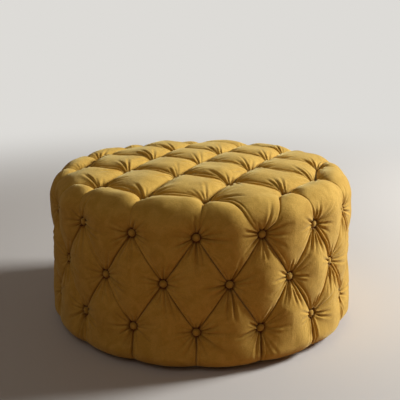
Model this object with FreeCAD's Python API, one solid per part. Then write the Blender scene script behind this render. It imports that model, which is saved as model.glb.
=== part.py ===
"""Round deep-buttoned tuffet: a timber drum, padded with foam and wadding and covered in velvet.

Millimetres. +Z is up and the origin is on the floor at the centre of the drum.
Angles round the drum start at the front, at -Y, and grow towards +X.
"""

import FreeCAD
import Part
import math
import os

from FreeCAD import Vector

# Overall sizes of the padded drum
overall_radius = 400.0
overall_height = 415.0
dome_radius = 3300.0
shoulder_radius = 62.0
base_round = 28.0

# Underside stack, from the floor up
foot_height = 9.0
foot_top_radius = 20.0
foot_floor_radius = 16.0
foot_edge_round = 2.0
foot_screw_recess = 4.0
foot_pocket_radius = 5.0
foot_count = 4
foot_ring_radius = 270.0
dust_cover_thickness = 0.6
dust_cover_radius = 334.0
velvet_thickness = 1.5
velvet_turn_under = 72.0

# Timber drum
side_padding = 60.0
top_padding = 70.0
base_board_thickness = 15.0
access_hole_radius = 200.0
top_board_thickness = 12.0
post_side = 38.0
post_count = 8
panel_thickness = 3.0
panel_joint_gap = 1.0

# Padding
wadding_thickness = 6.3
pressed_wadding = 1.3

# Button pattern: three staggered rows round the side, a square lattice on top
column_count = 16
lower_row_rise = 87.0
upper_row_drop = 94.0
lattice_pitch = 143.0
edge_inset = 84.0
side_pit_depth = 20.0
top_pit_depth = 34.0
side_pleat_depth = 9.0
top_pleat_depth = 12.0
pit_cup_height = 6.0
pillow_rise = 62.0

# Covered buttons and what ties them
button_radius = 9.5
button_height = 6.4
button_rim_height = 2.8
button_rim_round = 0.9
button_back_radius = 7.5
button_back_thickness = 1.0
loop_wire = 1.2
loop_radius = 2.4
twine_radius = 0.8
knot_radius = 2.2
anchor_radius = 10.5
anchor_thickness = 2.0

# Fixings
post_screw_radius = 2.0
post_screw_length = 50.0
post_screw_head_radius = 4.0
foot_screw_radius = 1.75
foot_screw_length = 20.0
foot_screw_head_radius = 4.0
foot_screw_head_height = 2.4
screw_tip = 0.3
staple_width = 10.0
staple_wire = 0.6
panel_staple_leg = 14.0
panel_staples_per_post = 4
panel_staples_per_board = 16
cover_staple_leg = 8.0
cover_staple_count = 48
dust_staple_leg = 8.0
dust_staple_count = 32
staple_edge_distance = 12.0

# Clearances
fit_gap = 0.1
layer_gap = 0.2
button_clearance = 0.4
needle_clearance = 0.6
twine_hole_clearance = 2.2
leg_clearance = 0.05
slot_overrun = 1.0

# Places along a pleat and along the roll under the drum, as shares of its length
pleat_stations = [0.0, 0.12, 0.32, 0.5, 0.68, 0.88, 1.0]
pleat_steepness = 2.5
roll_drops = [0.4, 0.75, 1.0]
roll_turns = [30.0, 60.0, 90.0]
roll_depths = [0.9, 0.85, 0.75, 0.5, 0.2, 0.0]

# Heights and radii that follow from the sizes above
cover_bottom = foot_height + dust_cover_thickness + staple_wire + 2 * fit_gap
base_board_bottom = cover_bottom + velvet_thickness + fit_gap
base_board_top = base_board_bottom + base_board_thickness
top_board_top = overall_height - top_padding
top_board_bottom = top_board_top - top_board_thickness
board_radius = overall_radius - side_padding
panel_inner_radius = board_radius + fit_gap
panel_outer_radius = panel_inner_radius + panel_thickness
foam_inner_radius = panel_outer_radius + staple_wire + fit_gap
post_outer_face = math.sqrt(board_radius**2 - (post_side / 2) ** 2) - fit_gap
post_centre_radius = post_outer_face - post_side / 2
lower_row_height = cover_bottom + lower_row_rise
upper_row_height = overall_height - upper_row_drop
middle_row_height = (lower_row_height + upper_row_height) / 2
edge_pit_radius = overall_radius - edge_inset
column_step = 360.0 / column_count

# How far each skin of the padding lies under the face of the velvet
velvet_inner = velvet_thickness
wadding_outer = velvet_inner + layer_gap
wadding_inner = wadding_outer + wadding_thickness
foam_outer = wadding_inner + layer_gap

# Cups, holes and loops of the buttons
cup_radius = button_radius + button_clearance
needle_radius = loop_radius + loop_wire / 2 + needle_clearance
twine_hole_radius = twine_radius + twine_hole_clearance
loop_drop = 2 * loop_radius + loop_wire / 2

# Centres of the arcs that make the drum's outline
shoulder_centre_radius = overall_radius - shoulder_radius
dome_centre_height = overall_height - dome_radius
dome_to_shoulder = math.sqrt((dome_radius - shoulder_radius) ** 2 - shoulder_centre_radius**2)
shoulder_centre_height = dome_centre_height + dome_to_shoulder
roll_centre_radius = overall_radius - base_round
roll_centre_height = cover_bottom + base_round

up = Vector(0, 0, 1)
origin = Vector(0, 0, 0)


def polar(radius, degrees, height):
    """A point at an angle from the front of the drum."""
    angle = math.radians(degrees)
    return Vector(radius * math.sin(angle), -radius * math.cos(angle), height)


def outward(degrees):
    return polar(1.0, degrees, 0.0)


def angle_of(point):
    return math.degrees(math.atan2(point.x, -point.y))


def on_outline(radius, height):
    """The nearest point of the outline and the outward direction there, as (radius, height)."""
    if height <= shoulder_centre_height:
        return (overall_radius, height), (1.0, 0.0)
    across = radius - shoulder_centre_radius
    above = height - shoulder_centre_height
    if across * dome_to_shoulder > above * shoulder_centre_radius:
        centre, size = (shoulder_centre_radius, shoulder_centre_height), shoulder_radius
    else:
        centre, size = (0.0, dome_centre_height), dome_radius
    run = math.hypot(radius - centre[0], height - centre[1])
    out = ((radius - centre[0]) / run, (height - centre[1]) / run)
    return (centre[0] + size * out[0], centre[1] + size * out[1]), out


class Spot:
    """A point of the padded surface: a place on the outline of the drum and a depth below it."""

    def __init__(self, base, out, depth):
        self.base = base
        self.out = out
        self.depth = depth

    def at(self, under):
        return self.base - self.out * (self.depth + under)


def spot_near(point, depth):
    degrees = angle_of(point)
    place, out = on_outline(math.hypot(point.x, point.y), point.z)
    return Spot(polar(place[0], degrees, place[1]), polar(out[0], degrees, out[1]), depth)


class Pit:
    """One button's pit. Its axis is level on the side of the drum and upright on its top."""

    def __init__(self, base, out, depth, pleat_depth):
        self.base = base
        self.out = out
        self.floor = depth
        self.pleat_depth = pleat_depth
        self.spot = Spot(base, out, depth - pit_cup_height)

    def place(self, shape, depth):
        """Stands a shape, made along +Z at the origin, on the pit's axis at a depth."""
        placed = shape.copy()
        turn = FreeCAD.Rotation(up, self.out)
        placed.Placement = FreeCAD.Placement(self.base - self.out * depth, turn)
        return placed


def side_pit(degrees, height):
    base = polar(overall_radius, degrees, height)
    return Pit(base, outward(degrees), side_pit_depth, side_pleat_depth)


def top_pit(i, j):
    """A pit of the top's lattice: i counts towards the front and j towards +X."""
    if max(abs(i), abs(j)) == 2:
        flat = polar(edge_pit_radius, math.degrees(math.atan2(j, i)), 0.0)
    else:
        flat = Vector(j * lattice_pitch, -i * lattice_pitch, 0.0)
    radius = math.hypot(flat.x, flat.y)
    height = dome_centre_height + math.sqrt(dome_radius**2 - radius**2)
    return Pit(Vector(flat.x, flat.y, height), up, top_pit_depth, top_pleat_depth)


lattice_steps = range(-2, 3)
top_places = [(i, j) for i in lattice_steps for j in lattice_steps if abs(i) + abs(j) < 4]
columns = range(column_count)
top_pits = {place: top_pit(*place) for place in top_places}
upper_pits = [side_pit(c * column_step, upper_row_height) for c in columns]
middle_pits = [side_pit((c + 0.5) * column_step, middle_row_height) for c in columns]
lower_pits = [side_pit(c * column_step, lower_row_height) for c in columns]
side_pits = upper_pits + middle_pits + lower_pits
all_pits = list(top_pits.values()) + side_pits


def pleat(start, end):
    """The spots of the fold from one button to the next, deepest at its ends."""
    spots = [start.spot]
    for share in pleat_stations[1:-1]:
        near = start if share < 0.5 else end
        valley = (start.pleat_depth + end.pleat_depth) / 2
        steep = abs(2 * share - 1) ** pleat_steepness
        depth = valley + (near.spot.depth - valley) * steep
        spots.append(spot_near(start.base + (end.base - start.base) * share, depth))
    spots.append(end.spot)
    return spots


def chain(*pits):
    spots = pleat(pits[0], pits[1])
    for start, end in zip(pits[1:], pits[2:]):
        spots += pleat(start, end)[1:]
    return spots


def crown_spot(left, right, top, bottom):
    """The crown of a pillow between two spots of its edges, sinking towards its ends."""
    middle = (left.base + right.base) * 0.5
    depth = 0.0
    for end in (top, bottom):
        if end is not None:
            near = max(0.0, 1.0 - middle.distanceToPoint(end.base) / pillow_rise)
            depth += end.depth * near**2
    return spot_near(middle, depth)


def arc_wire(left, crown, right, under):
    arc = Part.Arc(left.at(under), crown.at(under), right.at(under))
    return Part.Wire([arc.toShape()])


def strips(sections):
    """Ruled faces between arcs, or from a point to an arc."""
    return Part.makeLoft(sections, False, True).Faces


def pillow(left, right, under):
    """A diamond pillow between two chains of spots that share both ends."""
    top, bottom = left[0], left[-1]
    sections = [Part.Vertex(top.at(under))]
    for one, other in zip(left[1:-1], right[1:-1]):
        crown = crown_spot(one, other, top, bottom)
        sections.append(arc_wire(one, crown, other, under))
    sections.append(Part.Vertex(bottom.at(under)))
    return strips(sections)


def edge_pillow(start, end, left_pit, right_pit, bottom_pit, under):
    """A five-sided pillow that hangs over the shoulder from one pleat of the top."""
    top_pleat = pleat(start, end)
    half = len(top_pleat) // 2
    left = top_pleat[half::-1] + chain(start, left_pit, bottom_pit)[1:]
    right = top_pleat[half:] + chain(end, right_pit, bottom_pit)[1:]
    top, bottom = left[0], left[-1]
    first = crown_spot(left[half + 1], right[half + 1], top, bottom)
    sections = [Part.Vertex(top.at(under))]
    for number, (one, other) in enumerate(zip(left[1:-1], right[1:-1]), 1):
        if number <= half:
            share = number / (half + 1)
            depth = top.depth + (first.depth - top.depth) * share
            crown = spot_near(top.base + (first.base - top.base) * share, depth)
        else:
            crown = crown_spot(one, other, top, bottom)
        sections.append(arc_wire(one, crown, other, under))
    sections.append(Part.Vertex(bottom.at(under)))
    return strips(sections)


def roll_spots(degrees, deepest):
    """Spots from the lowest row down the side and round the roll under the drum."""
    drop = lower_row_height - roll_centre_height
    spots = []
    for share, depth in zip(roll_drops, roll_depths):
        base = polar(overall_radius, degrees, lower_row_height - drop * share)
        spots.append(Spot(base, outward(degrees), deepest * depth))
    for turn, depth in zip(roll_turns, roll_depths[len(roll_drops) :]):
        across = math.cos(math.radians(turn))
        down = math.sin(math.radians(turn))
        out = polar(across, degrees, -down)
        base = polar(roll_centre_radius, degrees, roll_centre_height) + out * base_round
        spots.append(Spot(base, out, deepest * depth))
    return spots


def base_pillow(column, under):
    """A pillow between two upright pleats, from the middle row to the roll under the drum."""
    top_pit_here = middle_pits[column]
    left_pit = lower_pits[column]
    right_pit = lower_pits[(column + 1) % column_count]
    top = top_pit_here.spot
    left = chain(top_pit_here, left_pit)
    right = chain(top_pit_here, right_pit)
    sections = [Part.Vertex(top.at(under))]
    for one, other in zip(left[1:], right[1:]):
        crown = crown_spot(one, other, top, None)
        sections.append(arc_wire(one, crown, other, under))
    start = column * column_step
    edges = [roll_spots(start + turn, side_pleat_depth) for turn in (0.0, column_step)]
    crowns = roll_spots(start + column_step / 2, 0.0)
    for one, crown, other in zip(edges[0], crowns, edges[1]):
        sections.append(arc_wire(one, crown, other, under))
    return strips(sections)


def turned(place, quarter):
    """A place of the lattice after quarter turns about the drum's axis."""
    i, j = place
    for _ in range(quarter):
        i, j = -j, i
    return top_pits[(i, j)]


def top_squares(under):
    faces = []
    for i, j in top_places:
        corners = [(i, j), (i + 1, j), (i + 1, j + 1), (i, j + 1)]
        if all(corner in top_pits for corner in corners):
            a, b, c, d = [top_pits[corner] for corner in corners]
            faces += pillow(chain(a, b, c), chain(a, d, c), under)
    return faces


def shoulder_pillows(quarter, under):
    """The pillows of one quarter that run from the top over the shoulder."""
    step = quarter * column_count // 4
    rim = [upper_pits[(step + n) % column_count] for n in range(5)]
    below = [middle_pits[(step + n) % column_count] for n in range(4)]
    front, near, far, side = [turned(place, quarter) for place in [(2, 0), (2, 1), (1, 2), (0, 2)]]
    inner = turned((1, 1), quarter)
    faces = pillow(chain(inner, near, rim[2]), chain(inner, far, rim[2]), under)
    faces += edge_pillow(front, near, rim[0], rim[1], below[0], under)
    faces += pillow(chain(near, rim[1], below[1]), chain(near, rim[2], below[1]), under)
    faces += pillow(chain(far, rim[2], below[2]), chain(far, rim[3], below[2]), under)
    faces += edge_pillow(far, side, rim[3], rim[4], below[3], under)
    return faces


def side_pillows(under):
    faces = []
    for c in columns:
        top, bottom = upper_pits[c], lower_pits[c]
        left = chain(top, middle_pits[c - 1], bottom)
        right = chain(top, middle_pits[c], bottom)
        faces += pillow(left, right, under)
        faces += base_pillow(c, under)
    return faces


def flat_bottom(under):
    circle = Part.Circle(Vector(0, 0, cover_bottom + under), up, roll_centre_radius)
    start = math.radians(-90.0)
    step = math.radians(column_step)
    arcs = [Part.Arc(circle, start + c * step, start + (c + 1) * step) for c in columns]
    return Part.Face(Part.Wire([arc.toShape() for arc in arcs]))


def tufted_form(under):
    """The whole padded drum as one solid, at a depth under the face of the velvet."""
    faces = top_squares(under) + side_pillows(under) + [flat_bottom(under)]
    for quarter in range(4):
        faces += shoulder_pillows(quarter, under)
    skin = Part.Compound(faces)
    skin.sewShape()
    solid = Part.makeSolid(skin.Shells[0])
    if solid.Volume < 0:
        solid.reverse()
    return solid


def pitted_form(under, cup_radius, cup_floor):
    """A tufted form with a round cup sunk at each button."""
    cups = []
    for pit in all_pits:
        depth = pit.floor + cup_floor
        cups.append(pit.place(Part.makeCylinder(cup_radius, 2 * depth), depth))
    return tufted_form(under).cut(cups)


def needle_holes(radius):
    holes = []
    for pit in all_pits:
        reach = side_padding + top_padding
        holes.append(pit.place(Part.makeCylinder(radius, reach), reach))
    return holes


def disc(radius, bottom, top):
    return Part.makeCylinder(radius, top - bottom, Vector(0, 0, bottom))


def group(solids):
    return Part.makeCompound(solids)


def layer(face, back):
    """The skin between a form and the smaller form that lies wholly inside it."""
    return Part.makeSolid(Part.makeCompound([face.Shells[0], back.Shells[0].reversed()]))


def velvet_cover():
    face = pitted_form(0.0, cup_radius, 0.0)
    back = pitted_form(velvet_inner, cup_radius + velvet_inner, velvet_inner)
    margin_radius = roll_centre_radius - velvet_turn_under
    opening = disc(margin_radius, 0.0, base_board_bottom)
    legs = staple_legs(cover_staple_places(), cover_staple_leg)
    legs += staple_legs(dust_staple_places(), dust_staple_leg)
    return layer(face, back).cut([opening] + needle_holes(needle_radius) + legs)


def wadding_wrap():
    cup_floor = wadding_outer + pressed_wadding
    face = pitted_form(wadding_outer, cup_radius + wadding_outer, wadding_outer)
    back = pitted_form(wadding_inner, cup_radius + wadding_outer + pressed_wadding, cup_floor)
    core = disc(foam_inner_radius, 0.0, top_board_top + fit_gap)
    return layer(face, back).cut([core] + needle_holes(needle_radius))


def foam_body():
    cup_floor = wadding_outer + pressed_wadding + layer_gap
    cup = cup_radius + cup_floor
    core = disc(foam_inner_radius, 0.0, top_board_top + fit_gap)
    return pitted_form(foam_outer, cup, cup_floor).cut([core] + needle_holes(needle_radius))


def write_foam():
    """The top disc and the side band of foam, which meet at the edge of the drum."""
    body = foam_body()
    middle = disc(foam_inner_radius, 0.0, overall_height)
    write("top_foam", body.common(middle))
    write("side_foam", body.cut(middle))


def staple(place):
    """A staple with its crown outside and its legs along the given direction."""
    centre, inward, along, leg = place
    across = inward.cross(along)
    half = staple_width / 2
    crown = bar(centre - along * half - inward * staple_wire, along, across, inward, staple_width)
    legs = [crown]
    for side in (-1, 1):
        start = centre + along * (side * (half - staple_wire / 2)) - along * (staple_wire / 2)
        legs.append(bar(start, inward, across, along, leg))
    return crown.fuse(legs[1:]).removeSplitter()


def bar(start, run, across, thick, length, spare=0.0):
    """A square wire from a point along run, with its width centred and its thickness one way."""
    half = staple_wire / 2 + spare
    low = start - across * half - thick * spare
    corners = [low, low + across * (2 * half)]
    corners += [corners[1] + thick * (staple_wire + 2 * spare)]
    corners += [low + thick * (staple_wire + 2 * spare), low]
    return Part.Face(Part.makePolygon(corners)).extrude(run * length)


def staple_legs(places, leg):
    """The slots that a set of staples makes in what it goes through."""
    slots = []
    run = leg + staple_wire + slot_overrun
    for centre, inward, along, _ in places:
        across = inward.cross(along)
        for side in (-1, 1):
            reach = side * (staple_width / 2 - staple_wire / 2) - staple_wire / 2
            start = centre + along * reach - inward * staple_wire
            slots.append(bar(start, inward, across, along, run, leg_clearance))
    return slots


def ring_of_staples(count, radius, height, leg):
    places = []
    for n in range(count):
        degrees = (n + 0.5) * 360.0 / count
        along = outward(degrees + 90.0)
        places.append((polar(radius, degrees, height), up, along, leg))
    return places


def cover_staple_places():
    radius = board_radius - staple_edge_distance
    return ring_of_staples(cover_staple_count, radius, cover_bottom, cover_staple_leg)


def dust_staple_places():
    radius = dust_cover_radius - 2 * staple_edge_distance
    return ring_of_staples(dust_staple_count, radius, foot_height, dust_staple_leg)


def panel_staple_places():
    """Staples through the side panels into the posts and into the edges of both boards."""
    places = []
    for degrees in post_angles():
        run = top_board_bottom - base_board_top
        for n in range(panel_staples_per_post):
            height = base_board_top + run * (n + 1) / (panel_staples_per_post + 1)
            places.append((degrees, height))
    for n in range(panel_staples_per_board):
        degrees = (n + 0.5) * 360.0 / panel_staples_per_board
        places.append((degrees, base_board_bottom + base_board_thickness / 2))
        places.append((degrees, top_board_bottom + top_board_thickness / 2))
    staples = []
    for degrees, height in places:
        centre = polar(panel_outer_radius, degrees, height)
        upright = abs(height - top_board_bottom) > top_board_thickness
        upright = upright and height > base_board_top
        along = up if upright else outward(degrees + 90.0)
        staples.append((centre, outward(degrees + 180.0), along, panel_staple_leg))
    return staples


def post_angles():
    step = 360.0 / post_count
    return [column_step / 4 + n * step for n in range(post_count)]


def post(degrees):
    half = post_side / 2
    height = top_board_bottom - base_board_top
    body = Part.makeBox(post_side, post_side, height, Vector(-half, -half, 0.0))
    body.rotate(origin, up, degrees)
    body.translate(polar(post_centre_radius, degrees, base_board_top))
    slots = staple_legs(panel_staple_places(), panel_staple_leg)
    near = [slot for slot in slots if body.BoundBox.intersect(slot.BoundBox)]
    return body.cut(near + post_screw_holes(degrees))


def wood_screw(radius, length, head_radius):
    """A countersunk screw along +Z, its head at the origin and its point up."""
    head = head_radius - radius
    tip = radius * 2
    outline = [origin, Vector(head_radius, 0, 0), Vector(radius, 0, head)]
    outline += [Vector(radius, 0, length - tip), Vector(screw_tip, 0, length), Vector(0, 0, length)]
    outline.append(outline[0])
    return Part.Face(Part.makePolygon(outline)).revolve(origin, up, 360)


def screw_hole(radius, length, head_radius):
    return wood_screw(radius + leg_clearance, length + leg_clearance, head_radius + leg_clearance)


def stand_screw(shape, degrees, from_below):
    placed = shape.copy()
    if not from_below:
        placed.rotate(origin, Vector(1, 0, 0), 180)
    height = base_board_bottom if from_below else top_board_top
    placed.translate(polar(post_centre_radius, degrees, height))
    return placed


def post_screw_holes(degrees):
    hole = screw_hole(post_screw_radius, post_screw_length, post_screw_head_radius)
    return [stand_screw(hole, degrees, below) for below in (True, False)]


def post_screws(from_below):
    screw = wood_screw(post_screw_radius, post_screw_length, post_screw_head_radius)
    return group([stand_screw(screw, degrees, from_below) for degrees in post_angles()])


def foot_angles():
    step = 360.0 / foot_count
    return [(n + 0.5) * step for n in range(foot_count)]


def foot(degrees):
    """A low plastic glide with a rounded floor edge and a recess for its screw."""
    bore = foot_screw_radius + fit_gap
    flat_radius = foot_floor_radius - foot_edge_round
    bend = foot_edge_round * math.sqrt(0.5)
    on_floor = Vector(flat_radius, 0, 0)
    halfway = Vector(flat_radius + bend, 0, foot_edge_round - bend)
    above = Vector(foot_floor_radius, 0, foot_edge_round)
    path = [above, Vector(foot_top_radius, 0, foot_height), Vector(bore, 0, foot_height)]
    path += [Vector(bore, 0, foot_screw_recess), Vector(foot_pocket_radius, 0, foot_screw_recess)]
    path += [Vector(foot_pocket_radius, 0, 0), on_floor]
    edge = Part.Arc(on_floor, halfway, above).toShape()
    wire = Part.Wire([edge] + Part.makePolygon(path).Edges)
    body = Part.Face(wire).revolve(origin, up, 360)
    body.translate(polar(foot_ring_radius, degrees, 0.0))
    return body


def pan_screw(spare=0.0):
    head = foot_screw_head_height
    top = foot_screw_length + spare
    radius = foot_screw_radius + spare
    outline = [Vector(0, 0, -head), Vector(foot_screw_head_radius, 0, -head)]
    outline += [Vector(foot_screw_head_radius, 0, 0), Vector(radius, 0, 0)]
    outline += [Vector(radius, 0, top - 2 * radius), Vector(screw_tip, 0, top), Vector(0, 0, top)]
    outline.append(outline[0])
    return Part.Face(Part.makePolygon(outline)).revolve(origin, up, 360)


def foot_screw_set(spare=0.0):
    screws = []
    for degrees in foot_angles():
        screw = pan_screw(spare)
        screw.translate(polar(foot_ring_radius, degrees, foot_screw_recess))
        screws.append(screw)
    return screws


def base_board():
    ring = disc(board_radius, base_board_bottom, base_board_top)
    cuts = [disc(access_hole_radius, 0.0, overall_height)] + foot_screw_set(leg_clearance)
    cuts += [post_screw_holes(degrees)[0] for degrees in post_angles()]
    cuts += staple_legs(cover_staple_places(), cover_staple_leg)
    cuts += staple_legs(dust_staple_places(), dust_staple_leg)
    slots = staple_legs(panel_staple_places(), panel_staple_leg)
    cuts += [slot for slot in slots if slot.BoundBox.ZMin < base_board_top]
    return ring.cut(cuts)


def twine_holes(pits, reach):
    hole = Part.makeCylinder(twine_hole_radius, reach)
    return [pit.place(hole, reach) for pit in pits]


def top_board():
    board = disc(board_radius, top_board_bottom, top_board_top)
    cuts = twine_holes(top_pits.values(), 2 * top_padding)
    cuts += [post_screw_holes(degrees)[1] for degrees in post_angles()]
    slots = staple_legs(panel_staple_places(), panel_staple_leg)
    cuts += [slot for slot in slots if slot.BoundBox.ZMax > top_board_bottom]
    return board.cut(cuts)


def side_panel(front):
    """Half of the bent hardboard wall, from the base board to the top board."""
    wall = disc(panel_outer_radius, base_board_bottom, top_board_top)
    wall = wall.cut(disc(panel_inner_radius, 0.0, overall_height))
    reach = overall_radius
    half = Part.makeBox(2 * reach, reach, overall_height, Vector(-reach, panel_joint_gap / 2, 0.0))
    if front:
        half.rotate(origin, up, 180)
    cuts = twine_holes(side_pits, 2 * side_padding)
    cuts += staple_legs(panel_staple_places(), panel_staple_leg)
    half_wall = wall.common(half)
    near = [cut for cut in cuts if half_wall.BoundBox.intersect(cut.BoundBox)]
    return half_wall.cut(near)


def dust_cover():
    sheet = disc(dust_cover_radius, foot_height, foot_height + dust_cover_thickness)
    slots = staple_legs(dust_staple_places(), dust_staple_leg)
    return sheet.cut(slots + foot_screw_set(leg_clearance))


def button_cap():
    """A velvet-covered shell: a low dome with a rounded rim, on a flat back."""
    centre = Vector(0, 0, button_height)
    heel = Vector(button_radius - button_rim_round, 0, 0)
    widest = Vector(button_radius, 0, button_rim_height / 2)
    shoulder = Vector(button_radius - button_rim_round, 0, button_rim_height)
    rise = button_height - button_rim_height
    ball = (shoulder.x**2 + rise**2) / (2 * rise)
    halfway = shoulder.x / 2
    crown = Vector(halfway, 0, button_height - ball + math.sqrt(ball**2 - halfway**2))
    arcs = [Part.Arc(heel, widest, shoulder).toShape(), Part.Arc(shoulder, crown, centre).toShape()]
    wire = Part.Wire(arcs + Part.makePolygon([centre, origin, heel]).Edges)
    return Part.Face(wire).revolve(origin, up, 360)


def button_back():
    """The metal plate that closes a button, with its wire loop underneath."""
    plate = Part.makeCylinder(button_back_radius, button_back_thickness)
    ring = Part.makeTorus(loop_radius, loop_wire / 2, Vector(0, 0, -loop_radius), Vector(0, 1, 0))
    return plate.fuse(ring)


def twine(length):
    """A waxed twine from a button's loop to the knot behind its washer."""
    cord = Part.makeCylinder(twine_radius, length)
    knot = Part.makeSphere(knot_radius, origin)
    return cord.fuse(knot)


def anchor():
    washer = Part.makeCylinder(anchor_radius, anchor_thickness)
    return washer.cut(Part.makeCylinder(twine_radius + fit_gap, anchor_thickness))


def write_buttons(name, pits, wall_depth):
    """One row of buttons with their backs, twines and washers, each kind as one group."""
    back_depth = pits[0].floor - fit_gap
    cap_depth = back_depth - button_back_thickness
    washer_depths = [wall_depth(pit) + fit_gap + anchor_thickness for pit in pits]
    write(name + "_buttons", group([pit.place(button_cap(), cap_depth) for pit in pits]))
    write(name + "_button_backs", group([pit.place(button_back(), back_depth) for pit in pits]))
    cords, washers = [], []
    for pit, washer_depth in zip(pits, washer_depths):
        knot_depth = washer_depth + knot_radius
        length = knot_depth - back_depth - loop_drop - fit_gap
        cords.append(pit.place(twine(length), knot_depth))
        washers.append(pit.place(anchor(), washer_depth))
    write(name + "_twines", group(cords))
    write(name + "_washers", group(washers))


def side_wall_depth(pit):
    """From the outline to the inner face of the panel, where a flat washer meets its curve."""
    curve = panel_inner_radius - math.sqrt(panel_inner_radius**2 - anchor_radius**2)
    return overall_radius - panel_inner_radius + curve


def top_wall_depth(pit):
    return pit.base.z - top_board_bottom


def write(name, shape):
    shape.exportStep(os.path.join("parts", name + ".step"))


def main():
    os.makedirs("parts", exist_ok=True)
    write("base_board", base_board())
    write("top_board", top_board())
    for number, degrees in enumerate(post_angles(), 1):
        write("post_%d" % number, post(degrees))
    write("front_panel", side_panel(True))
    write("rear_panel", side_panel(False))
    write("lower_post_screws", post_screws(True))
    write("upper_post_screws", post_screws(False))
    write("panel_staples", group([staple(place) for place in panel_staple_places()]))
    write_foam()
    write("wadding_wrap", wadding_wrap())
    write("velvet_cover", velvet_cover())
    write_buttons("top", list(top_pits.values()), top_wall_depth)
    write_buttons("upper_side", upper_pits, side_wall_depth)
    write_buttons("middle_side", middle_pits, side_wall_depth)
    write_buttons("lower_side", lower_pits, side_wall_depth)
    write("cover_staples", group([staple(place) for place in cover_staple_places()]))
    write("dust_cover", dust_cover())
    write("dust_cover_staples", group([staple(place) for place in dust_staple_places()]))
    for number, degrees in enumerate(foot_angles(), 1):
        write("foot_%d" % number, foot(degrees))
    write("foot_screws", group(foot_screw_set()))


main()
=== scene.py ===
"""Looks of a round deep-buttoned velvet tuffet, built round its packed construction model.

Metres. +Z is up, the front is at -Y, and the origin is on the floor at the centre of the drum.
Angles round the drum start at the front and grow towards +X.
"""

import math

import bpy
import numpy as np
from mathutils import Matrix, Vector


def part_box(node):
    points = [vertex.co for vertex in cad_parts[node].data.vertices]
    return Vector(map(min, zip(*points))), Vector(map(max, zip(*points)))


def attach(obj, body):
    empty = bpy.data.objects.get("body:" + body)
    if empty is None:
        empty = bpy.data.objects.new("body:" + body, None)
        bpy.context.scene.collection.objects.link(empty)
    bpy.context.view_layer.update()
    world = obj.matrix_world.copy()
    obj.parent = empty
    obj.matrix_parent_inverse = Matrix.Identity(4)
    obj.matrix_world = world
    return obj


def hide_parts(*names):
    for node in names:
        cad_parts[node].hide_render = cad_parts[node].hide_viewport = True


bl_info = {
    "name": "Deep-Buttoned Tuffet",
    "version": (1, 0, 0),
    "blender": (4, 5, 0),
    "location": "View3D > Sidebar > Tuffet",
    "description": "Builds the padding, velvet, buttons and finishes of a round tuffet",
    "category": "Object",
}

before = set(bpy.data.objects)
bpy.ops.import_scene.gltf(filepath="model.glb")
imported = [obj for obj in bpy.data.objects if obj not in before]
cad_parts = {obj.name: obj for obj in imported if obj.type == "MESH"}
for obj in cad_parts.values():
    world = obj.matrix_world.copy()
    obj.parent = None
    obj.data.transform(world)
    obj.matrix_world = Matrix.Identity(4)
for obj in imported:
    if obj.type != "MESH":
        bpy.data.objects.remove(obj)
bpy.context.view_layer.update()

SIDE_ROWS = ["upper_side", "middle_side", "lower_side"]


def linear(code):
    """An sRGB hex colour as linear red, green, blue and alpha."""
    parts = [int(code[n : n + 2], 16) / 255 for n in (1, 3, 5)]
    return [c / 12.92 if c <= 0.04045 else ((c + 0.055) / 1.055) ** 2.4 for c in parts] + [1.0]


def box_middle(node):
    low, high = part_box(node)
    return (low + high) / 2


def metres(name, description, default):
    """A property that holds a length in metres."""
    return bpy.props.FloatProperty(name=name, description=description, default=default, unit="LENGTH")


def degrees(name, description, default):
    """A property that holds an angle."""
    return bpy.props.FloatProperty(
        name=name, description=description, default=math.radians(default), unit="ROTATION"
    )


def tint(name, description, code):
    """A property that holds a colour, given as sRGB hex."""
    return bpy.props.FloatVectorProperty(
        name=name, description=description, subtype="COLOR", size=4, min=0, max=1, default=linear(code)
    )


class TuffetShape(bpy.types.PropertyGroup):
    """Sizes of the padded drum."""

    radius: metres("Radius", "Radius of the drum at its side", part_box("velvet_cover")[1].x)
    crown: metres("Crown Height", "Height of the domed top at its centre, before it is buttoned", 0.415)
    dome: metres("Dome Radius", "Radius of the domed top", 3.3)
    shoulder: metres("Shoulder Radius", "Radius of the padded edge between the top and the side", 0.062)
    roll: metres("Base Roll", "Radius of the roll under the side", 0.028)
    bottom: metres("Cover Bottom", "Height of the velvet's underside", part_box("velvet_cover")[0].z)
    margin: metres("Turned Margin", "Radius at which the velvet's turned-under edge ends", 0.3)
    columns: bpy.props.IntProperty(
        name="Button Columns", description="Buttons in each row round the side", default=16
    )
    pitch: metres("Top Pitch", "Distance between neighbouring buttons of the top", 0.143)
    edge_ring: metres("Edge Ring", "Radius of the outer ring of top buttons", 0.316)


class TuffetTufting(bpy.types.PropertyGroup):
    """Depths and widths of the pleats, pits and folds."""

    top_pit: metres("Top Pit", "Depth of the pits of the top", 0.034)
    side_pit: metres("Side Pit", "Depth of the pits of the side", 0.020)
    pit_spread: metres("Pit Spread", "Distance over which a pit fades into its pleats", 0.026)
    slit: metres("Slit", "Extra depth of the crease in the middle of a pleat", 0.0026)
    tuck_width: metres("Tuck Width", "Width of the strip folded over beside a pleat", 0.009)
    tuck_rise: metres("Tuck Rise", "Height of that strip", 0.0022)
    gather: metres("Gathers", "Depth of the small folds that run out of a button", 0.0058)
    steps: bpy.props.IntProperty(
        name="Mesh Steps", description="Mesh steps along half of a pleat, a multiple of four", default=36
    )
    seed: bpy.props.IntProperty(
        name="Seed", description="Seed of the uneven folds and fullness", default=7
    )


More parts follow.
